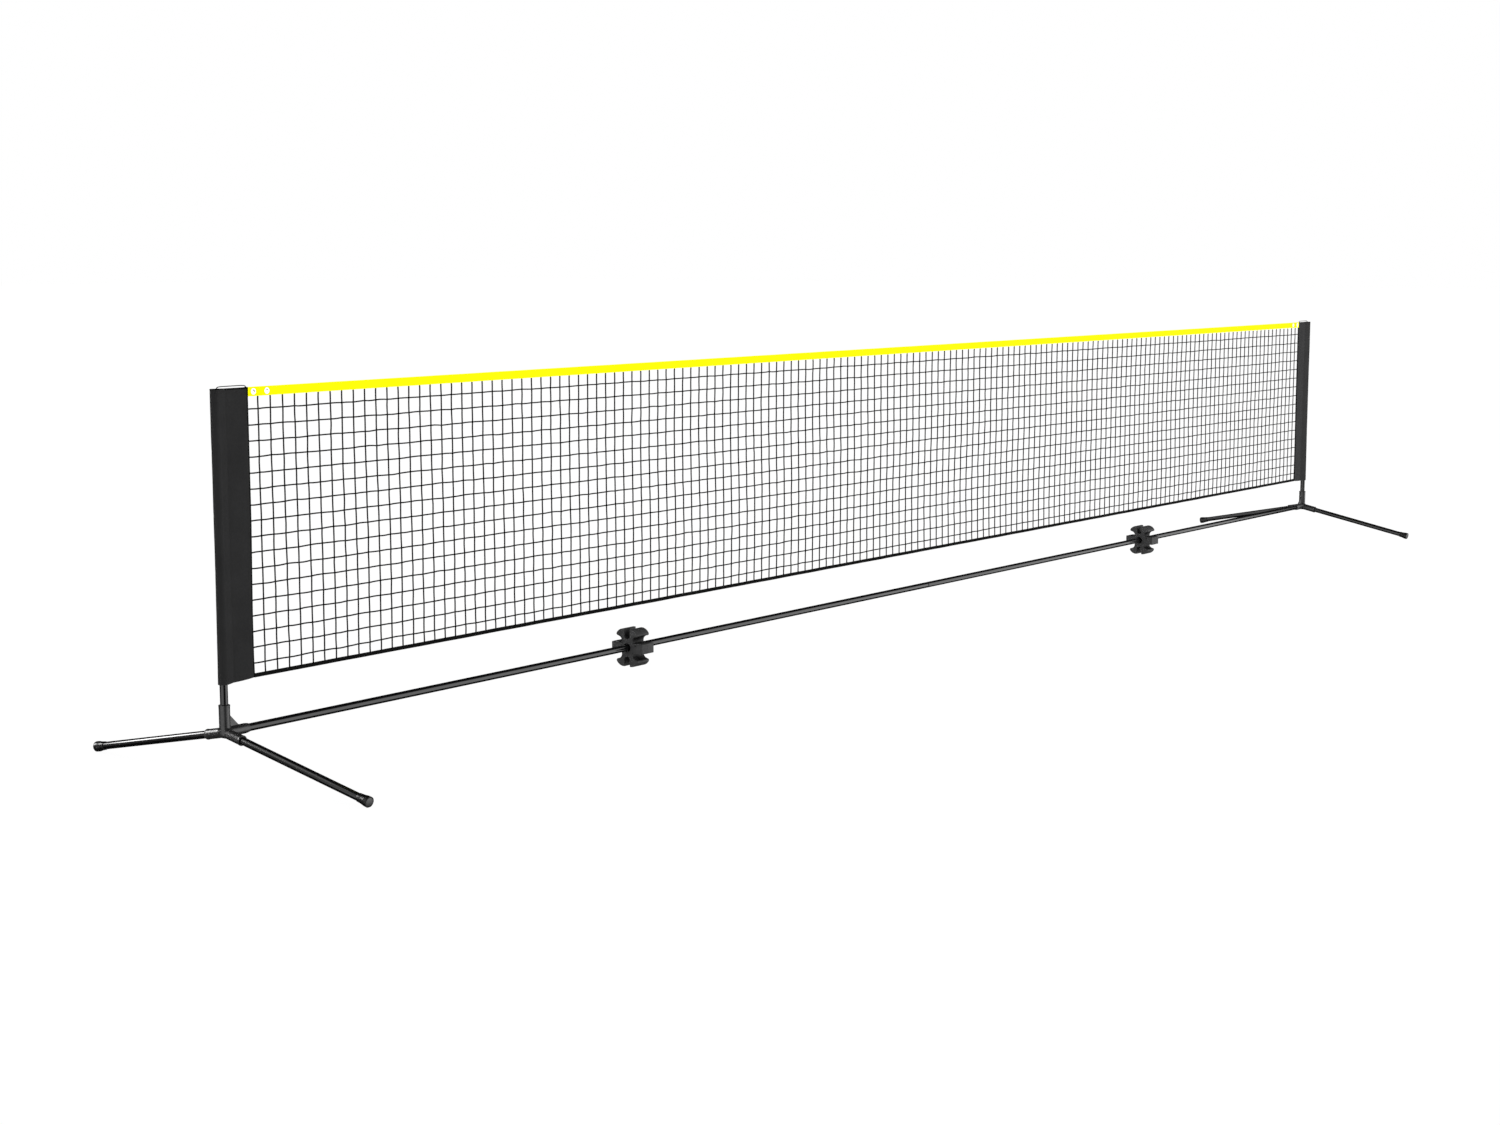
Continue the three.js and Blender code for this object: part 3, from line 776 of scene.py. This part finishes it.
def thick_sheet(grid, thickness):
    """A closed sheet of cloth around a grid of points on its middle look."""
    rows, columns = grid.shape[:2]
    normals = grid_normals(grid)
    faces_of_cloth = [grid + normals * thickness / 2, grid - normals * thickness / 2]
    shape = Shape()
    shape.verts = [tuple(p) for face in faces_of_cloth for p in face.reshape(-1, 3)]
    across = cumulative(grid[rows // 2])
    along = cumulative(grid[:, columns // 2])
    shape.cloth = [(u, v, 0.0) for _ in range(2) for v in along for u in across]
    layer = rows * columns
    for r in range(rows - 1):
        for c in range(columns - 1):
            a = r * columns + c
            quad = [a, a + 1, a + columns + 1, a + columns]
            shape.faces.append(quad)
            shape.faces.append([layer + i for i in reversed(quad)])
    index = np.arange(layer).reshape(rows, columns)
    round_edge = (index[0], index[1:, -1], index[-1, -2::-1], index[-2:0:-1, 0])
    edge = np.concatenate(round_edge).tolist()
    for a, b in zip(edge, edge[1:] + edge[:1]):
        shape.faces.append([a, layer + a, layer + b, b])
    return shape


def folded_strip(path, fold, sides, spacing):
    """A tape folded over an edge. The path is the closed edge, fold the way it faces,
    and sides the (depth, half width) points of one leg's middle line, from the fold down."""
    path = resampled(path, spacing)
    top_half = sides[0][1]
    arc = [(top_half * cos(a), top_half * (1 - sin(a))) for a in np.linspace(0, pi, 9)]
    leg = [(half, depth) for depth, half in sides[1:]]
    section = leg[::-1] + arc + [(-half, depth) for half, depth in leg]
    fold = np.array(fold, float)
    across = np.array([0.0, 1.0, 0.0])
    offsets = np.array([across * half - fold * depth for half, depth in section])
    return path[:, None, :] + offsets[None, :, :]


def add_stitches(shape, middle_line, normals, thickness):
    """A row of stitches on the outside of a cloth, along a line of its middle look."""
    line = middle_line + normals * thickness / 2
    run = cumulative(line)
    for k in range(int(run[-1] / STITCH_PITCH)):
        middle = (k + 0.5) * STITCH_PITCH
        a, b, m, n = (
            np.array([np.interp(at, run, source[:, axis]) for axis in range(3)])
            for at, source in (
                (middle - STITCH_REACH, line), (middle + STITCH_REACH, line),
                (middle, line), (middle, normals),
            )
        )
        n = n / norm(n)
        side = np.cross(b - a, n)
        side = side / norm(side) * STITCH_HALF_WIDTH
        lift = n * STITCH_HEIGHT
        verts = [a - lift, b - lift, m + side, m - side, m + lift * 1.6, m - lift]
        faces = [[0, 2, 4], [4, 2, 1], [1, 3, 4], [4, 3, 0], [0, 5, 2], [2, 5, 1], [1, 5, 3], [3, 5, 0]]
        shape.add(verts, faces)


BAND_HALF = BAND_HIGH.y - TAPE / 2
HEM_HALF = HEM_HIGH.y - TAPE / 2
BAND_HEIGHT = BAND_HIGH.z - BAND_LOW.z
HEM_HEIGHT = HEM_HIGH.z - HEM_LOW.z
NET_HALF_LENGTH = BAND_HIGH.x
TAPE_STEP = 0.02  # from one row of a long tape's points to the next
BAND_RIPPLE = 0.0004
HEM_RIPPLE = 0.0008


def band_wave(grid, size):
    """Gives a long tape the faint ripple of sewn fabric, none of it near the ends."""
    x = grid[:, :, 0]
    ends = np.clip((NET_HALF_LENGTH - 0.12 - np.abs(x)) / 0.2, 0, 1)
    ripple = np.sin(x * 9.1 + 0.4) * 0.5 + np.sin(x * 23.7 + 1.3) * 0.3 + np.sin(x * 51.0) * 0.2
    grid[:, :, 1] += ends * ripple * size
    grid[:, :, 2] += ends * np.sin(x * 33.0 + 2.0) * size * 0.2
    return grid


EYELET_CUT_RADIUS = 0.0053


def cut_eyelet_holes(piece, places):
    reach = 0.006
    outline = [(0, -reach), (EYELET_CUT_RADIUS, -reach), (EYELET_CUT_RADIUS, reach), (0, reach)]
    for place in places:
        shape = lathe(outline, 40).moved(Matrix.Translation(place) @ ACROSS)
        cutter = new_object("cutter", closed_mesh("cutter", shape))
        modifier = piece.modifiers.new("hole", "BOOLEAN")
        modifier.operation = "DIFFERENCE"
        modifier.solver = "EXACT"
        modifier.object = cutter
        result = modified_mesh(piece)
        piece.modifiers.clear()
        piece.data = result
        bpy.data.objects.remove(cutter)


EYELETS = [f"{end}_{place}_eyelet" for end in ("left", "right") for place in ("outer", "inner")]
EYELET_HOLE_RADIUS = 0.0046
EYELET_FLANGE = 0.0008
EYELET_BARREL = 0.0005


def eyelet_centre(node):
    low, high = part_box(node)
    return (low + high) / 2


def make_eyelets():
    low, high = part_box(EYELETS[0])
    radius = (high.x - low.x) / 2
    outside = high.y
    inside = outside - EYELET_FLANGE
    barrel = EYELET_HOLE_RADIUS + EYELET_BARREL
    outline = rounded([
        (EYELET_HOLE_RADIUS, -outside), (radius, -outside + 0.0002),
        (radius, -inside), (barrel, -inside + 0.0002),
        (barrel, inside - 0.0002), (radius, inside),
        (radius, outside - 0.0002), (EYELET_HOLE_RADIUS, outside),
    ], 0.0009, 4, closed=True)
    for node in EYELETS:
        ring = lathe(outline, 48, closed=True)
        ring.moved(Matrix.Translation(eyelet_centre(node)) @ ACROSS)
        add_piece(f"{node}_ring", ring, metal, "net", [node])


def make_tape(node, grid, look, seam_column, holes=()):
    """A long tape folded over a cord, with a row of stitches on each face."""
    cloth, yarn, slot = look
    tape = add_piece(f"{node}_tape", thick_sheet(grid, TAPE), cloth, "net", [node])
    cut_eyelet_holes(tape, holes)
    rows = Shape()
    normals = grid_normals(grid)
    for column, direction in ((seam_column, 1), (-1 - seam_column, -1)):
        out = normals[:, column] * np.sign(normals[:, column, 1:2]) * direction
        add_stitches(rows, grid[:, column], out, TAPE)
    thread = add_piece(f"{node}_stitches", rows, yarn, "net")


def make_headband():
    end = NET_HALF_LENGTH
    path = [(-end, 0, BAND_HIGH.z - TAPE / 2), (end, 0, BAND_HIGH.z - TAPE / 2)]
    foot = BAND_HEIGHT - TAPE / 2
    legs = [(0, BAND_HALF), (0.0030, BAND_HALF), (0.0055, BAND_HALF - 0.0002), (0.0110, BAND_HALF)]
    legs += [(foot - 0.0040, BAND_HALF - 0.0001), (foot - 0.0025, BAND_HALF - 0.0003)]
    legs.append((foot, BAND_HALF))
    grid = band_wave(folded_strip(path, (0, 0, 1), legs, TAPE_STEP), BAND_RIPPLE)
    look = (headband_cloth, yellow_thread, "yellow_fabric")
    holes = [eyelet_centre(node) for node in EYELETS]
    make_tape("headband", grid, look, 1, holes)


def make_hem():
    reach = NET_HALF_LENGTH + sleeve_pull(HEM_LOW.z)
    path = [(-reach, 0, HEM_LOW.z + TAPE / 2), (reach, 0, HEM_LOW.z + TAPE / 2)]
    foot = HEM_HEIGHT - TAPE / 2
    legs = [(0, HEM_HALF), (0.0024, HEM_HALF), (0.0048, 0.0011), (0.0068, 0.0012), (foot, 0.0015)]
    grid = band_wave(folded_strip(path, (0, 0, -1), legs, TAPE_STEP), HEM_RIPPLE)
    make_tape("hem", grid, (binding_cloth, black_thread, "black_fabric"), 2)


# ---- Netting ----

def string_ring(first, second, sides=6):
    first, second = np.array(first, float), np.array(second, float)
    points = circle(TWINE_RADIUS, sides=sides)
    return np.array([first * across + second * up for across, up in points])


def between_knots(knots, slack):
    """The string's own line through its knots, a little loose between them."""
    parts = [knots[:1]]
    for a, b in zip(knots, knots[1:]):
        sideways = draw.normal(0, slack, 3) * np.array([1, 0.7, 1])
        parts.append(np.array([a * 2 / 3 + b / 3 + sideways, a / 3 + b * 2 / 3 + sideways * 0.8, b]))
    return np.concatenate(parts)


def add_string(shape, start, knots, end, slack, ring):
    """A string of twine from one point through its knots to another."""
    points = between_knots(np.concatenate([[start], knots, [end]]), slack)
    ends = loft(shape, (points[:, None, :] + ring[None, :, :]).tolist())
    shape.faces.extend(ends)


def knot_loop(centre, lean):
    """One turn of twine round a crossing."""
    around, section = 8, 4
    axis = Vector((cos(lean), 0.25, sin(lean))).normalized()
    first = axis.cross(Vector((0, 1, 0))).normalized()
    second = axis.cross(first)
    verts = []
    for i in range(around):
        a = 2 * pi * i / around
        out = first * cos(a) + second * sin(a)
        for j in range(section):
            b = 2 * pi * j / section + pi / 4
            swell = out * cos(b) + axis * sin(b) * 1.3
            verts.append(tuple(centre + out * KNOT_RADIUS + swell * KNOT_HALF_WIDTH))
    return verts, ring_faces(around, section)


def drifted_knots(x, z):
    """Where the strings cross: an even grid, a little uneven, that drifts most where it is free."""
    knots = np.zeros((NET_COLUMNS, NET_ROWS, 3))
    knots[:, :, 0] = x[:, None] + draw.normal(0, KNOT_SCATTER, (NET_COLUMNS, NET_ROWS))
    knots[:, :, 2] = z[None, :] + draw.normal(0, KNOT_SCATTER, (NET_COLUMNS, NET_ROWS))
    for i in range(NET_COLUMNS):
        near_end = min(1, (NET_HALF_LENGTH - abs(x[i])) / 0.3)
        for j in range(NET_ROWS):
            drift = noise.noise_vector(Vector((x[i] * 1.1, 3.0, z[j] * 2.2)))
            free = near_end * sin(pi * (j + 1) / (NET_ROWS + 1))
            knots[i, j] += np.array([drift.x * 0.0022, drift.y * 0.006, drift.z * 0.0022]) * free
    return knots


def make_netting():
    x = (np.arange(NET_COLUMNS) - (NET_COLUMNS - 1) / 2) * NET_PITCH_X
    z = BAND_LOW.z - FIRST_ROW_DROP - np.arange(NET_ROWS) * NET_PITCH_Z
    knots = drifted_knots(x, z)
    shape = Shape()
    upright = string_ring((1, 0, 0), (0, 1, 0))
    for i in range(NET_COLUMNS):
        top, bottom = (x[i], 0, NETTING_HIGH.z), (x[i], 0, NETTING_LOW.z)
        add_string(shape, top, knots[i], bottom, UPRIGHT_SLACK, upright)
    level = string_ring((0, 1, 0), (0, 0, 1))
    for j in range(NET_ROWS):
        reach = NET_HALF_LENGTH + sleeve_pull(z[j])
        add_string(shape, (-reach, 0, z[j]), knots[:, j], (reach, 0, z[j]), LEVEL_SLACK, level)
    for i in range(NET_COLUMNS):
        for j in range(NET_ROWS):
            lean = radians(45 if (i + j) % 2 else 135) + draw.normal(0, 0.15)
            shape.add(*knot_loop(Vector(knots[i, j]), lean))
    add_piece("netting_twine", shape, twine, "net", ["netting"], sharp=80)


# ---- Sleeves ----

def sleeve_section():
    """Middle line of the folded cloth, from the inner edge round the post and back."""
    radius = SLEEVE_RADIUS - CLOTH / 2
    half = PANEL_HALF_THICKNESS - CLOTH / 2
    distance = hypot(SLEEVE_SEAM, half)
    tangent = acos(radius / distance) + atan2(half, SLEEVE_SEAM)
    edge = SLEEVE_REACH - 0.0006
    line = [(edge, -half), (SLEEVE_SEAM, -half)]
    for step in range(49):
        angle = -tangent - (2 * pi - 2 * tangent) * step / 48
        line.append((radius * cos(angle), radius * sin(angle)))
    line += [(SLEEVE_SEAM, half), (edge, half)]
    return resampled(line, 0.0026)


SLEEVE_PULL = 0.004  # how far the sleeve's lower inner edge is drawn towards the post


def sleeve_pull(z):
    """Inward pull of the sleeve's inner edge at a height above the floor."""
    return SLEEVE_PULL * np.clip((0.60 - z) / 0.22, 0, 1) * np.clip((z - 0.12) / 0.16, 0.65, 1)


SLEEVE_LIFT = 0.0036  # how far the hem draws up the sleeve's lower inner corner
SLEEVE_SLACK = 0.0018  # how much looser the pocket is at its mouth than higher up


CREASES = [(0.115, 0.012), (0.262, -0.02), (0.405, 0.015), (0.548, -0.01)]  # height, tilt


def sleeve_grid(sign):
    """The sleeve's middle surface in its end's own frame, with wrinkles and packing creases."""
    section = sleeve_section()
    heights = resampled([(0.0, 0.0), (SLEEVE_HIGH.z - SLEEVE_LOW.z - 0.0006, 0.0)], 0.005)[:, 0]
    grid = np.zeros((len(heights), len(section), 3))
    total = heights[-1]
    for r, height in enumerate(heights):
        held = min(1.0, height / 0.03, (total - height) / 0.03)
        for c, (x, y) in enumerate(section):
            crease = sum(
                exp(-((height - level - tilt * (x - 0.05) * 4) / 0.0035) ** 2)
                for level, tilt in CREASES
            )
            soft = noise.noise(Vector((x * 14, 4.0 * sign, height * 7)))
            fine = noise.noise(Vector((x * 40, 9.0 * sign, height * 22)))
            z = SLEEVE_LOW.z + height
            if x > SLEEVE_SEAM:
                free = min(1, (x - SLEEVE_SEAM) / 0.012) * min(1, (SLEEVE_REACH - x) / 0.012)
                share = (x - SLEEVE_SEAM) / (SLEEVE_REACH - SLEEVE_SEAM)
                x -= share * sleeve_pull(z)
                y += held * free * (soft * 0.0022 + fine * 0.0006 + crease * 0.0007)
                z += SLEEVE_LIFT * share ** 2 * max(0.0, 1 - height / 0.05)
            else:
                turn = atan2(y, x)
                loose = noise.noise(Vector((turn * 1.2, 2.0 * sign, height * 9)))
                out = Vector((x, y)).normalized()
                free = held * min(1, (SLEEVE_SEAM - x) / 0.012)
                swell = free * (loose * 0.0004 + fine * 0.0002 - crease * 0.0003)
                tighter = SLEEVE_SLACK * min(1.0, height / 0.25)
                swell -= tighter * min(1, (SLEEVE_SEAM - x) / 0.02)
                x += out.x * swell
                y += out.y * swell
            grid[r, c] = (x, y, z)
    return grid


def outward(grid):
    """Normals of a sleeve grid, all facing away from the post."""
    normals = grid_normals(grid)
    middle = grid.shape[1] // 2
    towards_end = normals[0, middle, 0] > 0
    return -normals if towards_end else normals


def nearest_column(grid, x, y_sign):
    distance = np.abs(grid[0, :, 0] - x) + np.where(grid[0, :, 1] * y_sign > 0, 0, 1)
    return int(np.argmin(distance))


def add_fabric(name, shape, material, replaced=()):
    return add_piece(name, shape, material, "net", replaced)


def make_sleeve(end, sign):
    place = end_frame(sign)
    grid = sleeve_grid(sign)
    node = f"{end}_sleeve"
    cloth = add_fabric(f"{node}_cloth", thick_sheet(grid, CLOTH).moved(place), sleeve_cloth, [node])
    normals = outward(grid)
    rows = Shape()
    for side in (-1, 1):
        for x in (SLEEVE_SEAM + 0.001, SLEEVE_SEAM + 0.0035):
            column = nearest_column(grid, x, side)
            add_stitches(rows, grid[:, column], normals[:, column], CLOTH)
    for row in (2, -3):
        add_stitches(rows, grid[row], normals[row], CLOTH)
    stitches = add_fabric(f"{node}_stitches", rows.moved(place), black_thread)
    bindings = [*make_bindings(node, place), make_sleeve_lid(node, place)]
    width = cumulative(sleeve_section())[-1]


def make_bindings(node, place):
    """The tapes folded over a sleeve's inner edge and its top edge."""
    top = SLEEVE_HIGH.z
    bottom = SLEEVE_LOW.z
    half = PANEL_HALF_THICKNESS + TAPE / 2 + 0.0001
    edge = SLEEVE_REACH - TAPE / 2 + 0.0004
    legs = [(0, half), (0.0012, half), (0.0022, half), (0.0032, half - 0.0002)]
    foot = bottom + SLEEVE_LIFT - 0.0002
    side_path = [(edge - sleeve_pull(z), 0, z) for z in np.linspace(foot, top - TAPE / 2, 60)]
    side_grid = folded_strip(side_path, (1, 0, 0), legs, 0.012)
    top_path = [(SLEEVE_SEAM - 0.004, 0, top - TAPE / 2), (edge, 0, top - TAPE / 2)]
    top_grid = folded_strip(top_path, (0, 0, 1), legs, 0.006)
    return [
        add_fabric(f"{node}_{name}_binding", thick_sheet(strip, TAPE).moved(place), binding_cloth)
        for name, strip in (("side", side_grid), ("top", top_grid))
    ]


SEAM_RADIUS = 0.0010  # the raised seam round a sleeve's lid
LID_CLOTH = 0.0008
LID_DOME = 0.0008
LID_DROP = 0.0016


def make_sleeve_lid(node, place):
    """The small panel that closes the pocket over the post, with its raised seam."""
    tight = 1 - SLEEVE_SLACK / SLEEVE_RADIUS
    half = [(x, y) for x, y in sleeve_section() if x <= SLEEVE_SEAM and y >= 0]
    section = sorted((x * tight, y * tight) for x, y in half)
    section = [(section[0][0] - 0.0001, 0.0)] + section
    rows = []
    for x, y in section:
        row = []
        for step in range(-6, 7):
            share = step / 6
            dome = LID_DOME * (1 - share ** 2) * min(1, y / 0.006)
            row.append((x, y * share, SLEEVE_HIGH.z - LID_DROP + dome))
        rows.append(row)
    lid = thick_sheet(np.array(rows), LID_CLOTH)
    outline = section + [(x, -y) for x, y in reversed(section[1:])]
    sides = 8
    count = len(outline)
    seam_verts = []
    for i, (x, y) in enumerate(outline):
        before, after = Vector(outline[i - 1]), Vector(outline[(i + 1) % count])
        ahead = (after - before).normalized()
        out = Vector((ahead.y, -ahead.x, 0))
        for j in range(sides):
            angle = 2 * pi * j / sides
            swell = out * cos(angle) + Vector((0, 0, sin(angle)))
            seam_verts.append(Vector((x, y, SLEEVE_HIGH.z - SEAM_RADIUS)) + swell * SEAM_RADIUS)
    lid.add(seam_verts, ring_faces(count, sides))
    lid.cloth += [(v.x, v.y, 0.0) for v in seam_verts]
    return add_fabric(f"{node}_lid", lid.moved(place), binding_cloth)


# ---- Cords ----

CORD_RADIUS = 0.0011
ARCH_ROUTE = [
    (0.0060, 0.9203), (0.0060, 0.9223), (0.0120, 0.9246), (0.04925, 0.9246),
    (0.0865, 0.9246), (0.0925, 0.9223), (0.0925, 0.9203),
]


def make_cord_arch(end, sign):
    """The stretch of the top cord that stands over a sleeve, from hole to hole in its edge."""
    place = end_frame(sign)
    data = bpy.data.curves.new(f"{end}_cord_arch_line", "CURVE")
    data.dimensions = "3D"
    data.bevel_depth = CORD_RADIUS
    data.bevel_resolution = 4
    data.resolution_u = 10
    data.use_fill_caps = True
    spline = data.splines.new("NURBS")
    spline.points.add(len(ARCH_ROUTE) - 1)
    for point, (x, z) in zip(spline.points, ARCH_ROUTE):
        point.co = (*(place @ Vector((x, 0, z))), 1.0)
    spline.order_u = 3
    spline.use_endpoint_u = True
    data.materials.append(cord_fibre)
    cord = new_object(f"{end}_cord_arch_line", data)
    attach(cord, "net")
    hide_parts(f"{end}_cord_arch")


def make_cord_holes(end, sign):
    """Overcast thread round the two small holes where the cord goes into the sleeve's edge."""
    rings = Shape()
    outline = circle(0.0006, (0.0019, 0.0), 8)
    for x in (ARCH_ROUTE[0][0], ARCH_ROUTE[-1][0]):
        ring = lathe(outline, 20, closed=True)
        ring.moved(end_frame(sign) @ Matrix.Translation((x, 0, SLEEVE_HIGH.z + 0.0004)))
        rings.add(ring.verts, ring.faces)
    add_fabric(f"{end}_cord_holes", rings, black_thread)


# ---- Studio ----

WORLD_LOBES = [
    # heading from +X towards +Y, height, half width in degrees, radiance
    (308.0, 0.0, 41.0, 2.5),
    (183.0, -4.0, 50.0, 1.8),
    (109.0, 23.0, 13.0, 20.0),
    (128.0, 34.0, 24.0, 1.6),
    (125.0, 0.0, 24.0, 0.25),
]
LOBE_CORE = 0.55  # share of a lobe's half width that is at full radiance
AMBIENT = 1.35
GLOSS_FLOOR = 0.008
KEY_PLACE = (5.2, -4.6, 2.4)
KEY_AIM = (0.6, 0, 0.4)
KEY_POWER = 600.0
KEY_SIZE = 2.2
FLOOR_GLOW = 0.965  # the white floor is lit from within, so it is even and no brighter than white
FLOOR_HALF = 60.0
FLOOR_DROP = 0.0003


def make_world():
    """White for the camera, soft even light for matt looks, soft boxes in a dark room for gloss."""
    world = bpy.data.worlds.new("studio")
    bpy.context.scene.world = world
    graph = Graph(world)
    world.cycles.sampling_method = "NONE"
    direction = graph.add("TexCoord").outputs["Generated"]
    rays = graph.add("LightPath").outputs
    total = GLOSS_FLOOR
    for heading, height, half_width, radiance in WORLD_LOBES:
        turn, rise = radians(heading), radians(height)
        axis = (cos(turn) * cos(rise), sin(turn) * cos(rise), sin(rise))
        dot = graph.add("VectorMath", {0: direction, 1: axis}, operation="DOT_PRODUCT")
        edge = cos(radians(half_width))
        core = cos(radians(half_width * LOBE_CORE))
        facing = dot.outputs["Value"]
        span = {"Value": facing, "From Min": edge, "From Max": core, "To Max": radiance}
        lobe = graph.add("MapRange", span, interpolation_type="SMOOTHSTEP")
        total = graph.add("Math", {0: lobe.outputs[0], 1: total}).outputs[0]
    strength = AMBIENT
    for ray, value in (("Is Glossy Ray", total), ("Is Camera Ray", 1.0)):
        strength = graph.add("Mix", {0: rays[ray], 2: strength, 3: value}).outputs[0]
    graph.feed(graph.nodes["Background"], {"Color": (1, 1, 1, 1), "Strength": strength})


def make_key_light():
    data = bpy.data.lights.new("key", "AREA")
    data.energy = KEY_POWER
    data.size = KEY_SIZE
    key = new_object("key", data)
    key.location = KEY_PLACE
    aim = Vector(KEY_AIM) - key.location
    key.rotation_euler = aim.to_track_quat("-Z", "Y").to_euler()
    key.visible_camera = False
    key.visible_glossy = False


def make_floor():
    look = Surface("floor_white", grey(0.03), 0.9, specular=0.0)
    glow = {"Emission Color": (1, 1, 1, 1), "Emission Strength": FLOOR_GLOW}
    look.feed(look.shader, glow)
    look.colour(look.noise(0.6, 2.0), grey(0.03), grey(0.034))
    mesh = bpy.data.meshes.new("floor")
    corners = [(x * FLOOR_HALF, y * FLOOR_HALF, 0) for x, y in ((-1, -1), (1, -1), (1, 1), (-1, 1))]
    mesh.from_pydata(corners, [], [(0, 1, 2, 3)])
    mesh.materials.append(look.material)
    floor = new_object("floor", mesh)
    floor.location.z = -FLOOR_DROP
    floor.visible_glossy = False


# ---- The whole scene ----

ENDS = (("left", -1), ("right", 1))

make_camera()
for end, sign in ENDS:
    make_cord_arch(end, sign)
    make_cord_holes(end, sign)
for node in ("headline_cord", "hem_cord"):
    cad_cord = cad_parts[node]
    cad_cord.data.materials.clear()
    cad_cord.data.materials.append(cord_fibre)

make_crossbar()
for end, sign in ENDS:
    for side in (-1, 1):
        make_foot(end, sign, side)
    make_connector(end, sign)
    make_post(end, sign)
    make_hub(end, sign)
    make_sleeve(end, sign)
make_headband()
make_hem()
make_eyelets()
make_netting()

make_world()
make_key_light()
make_floor()
bpy.context.scene.view_settings.view_transform = "Standard"
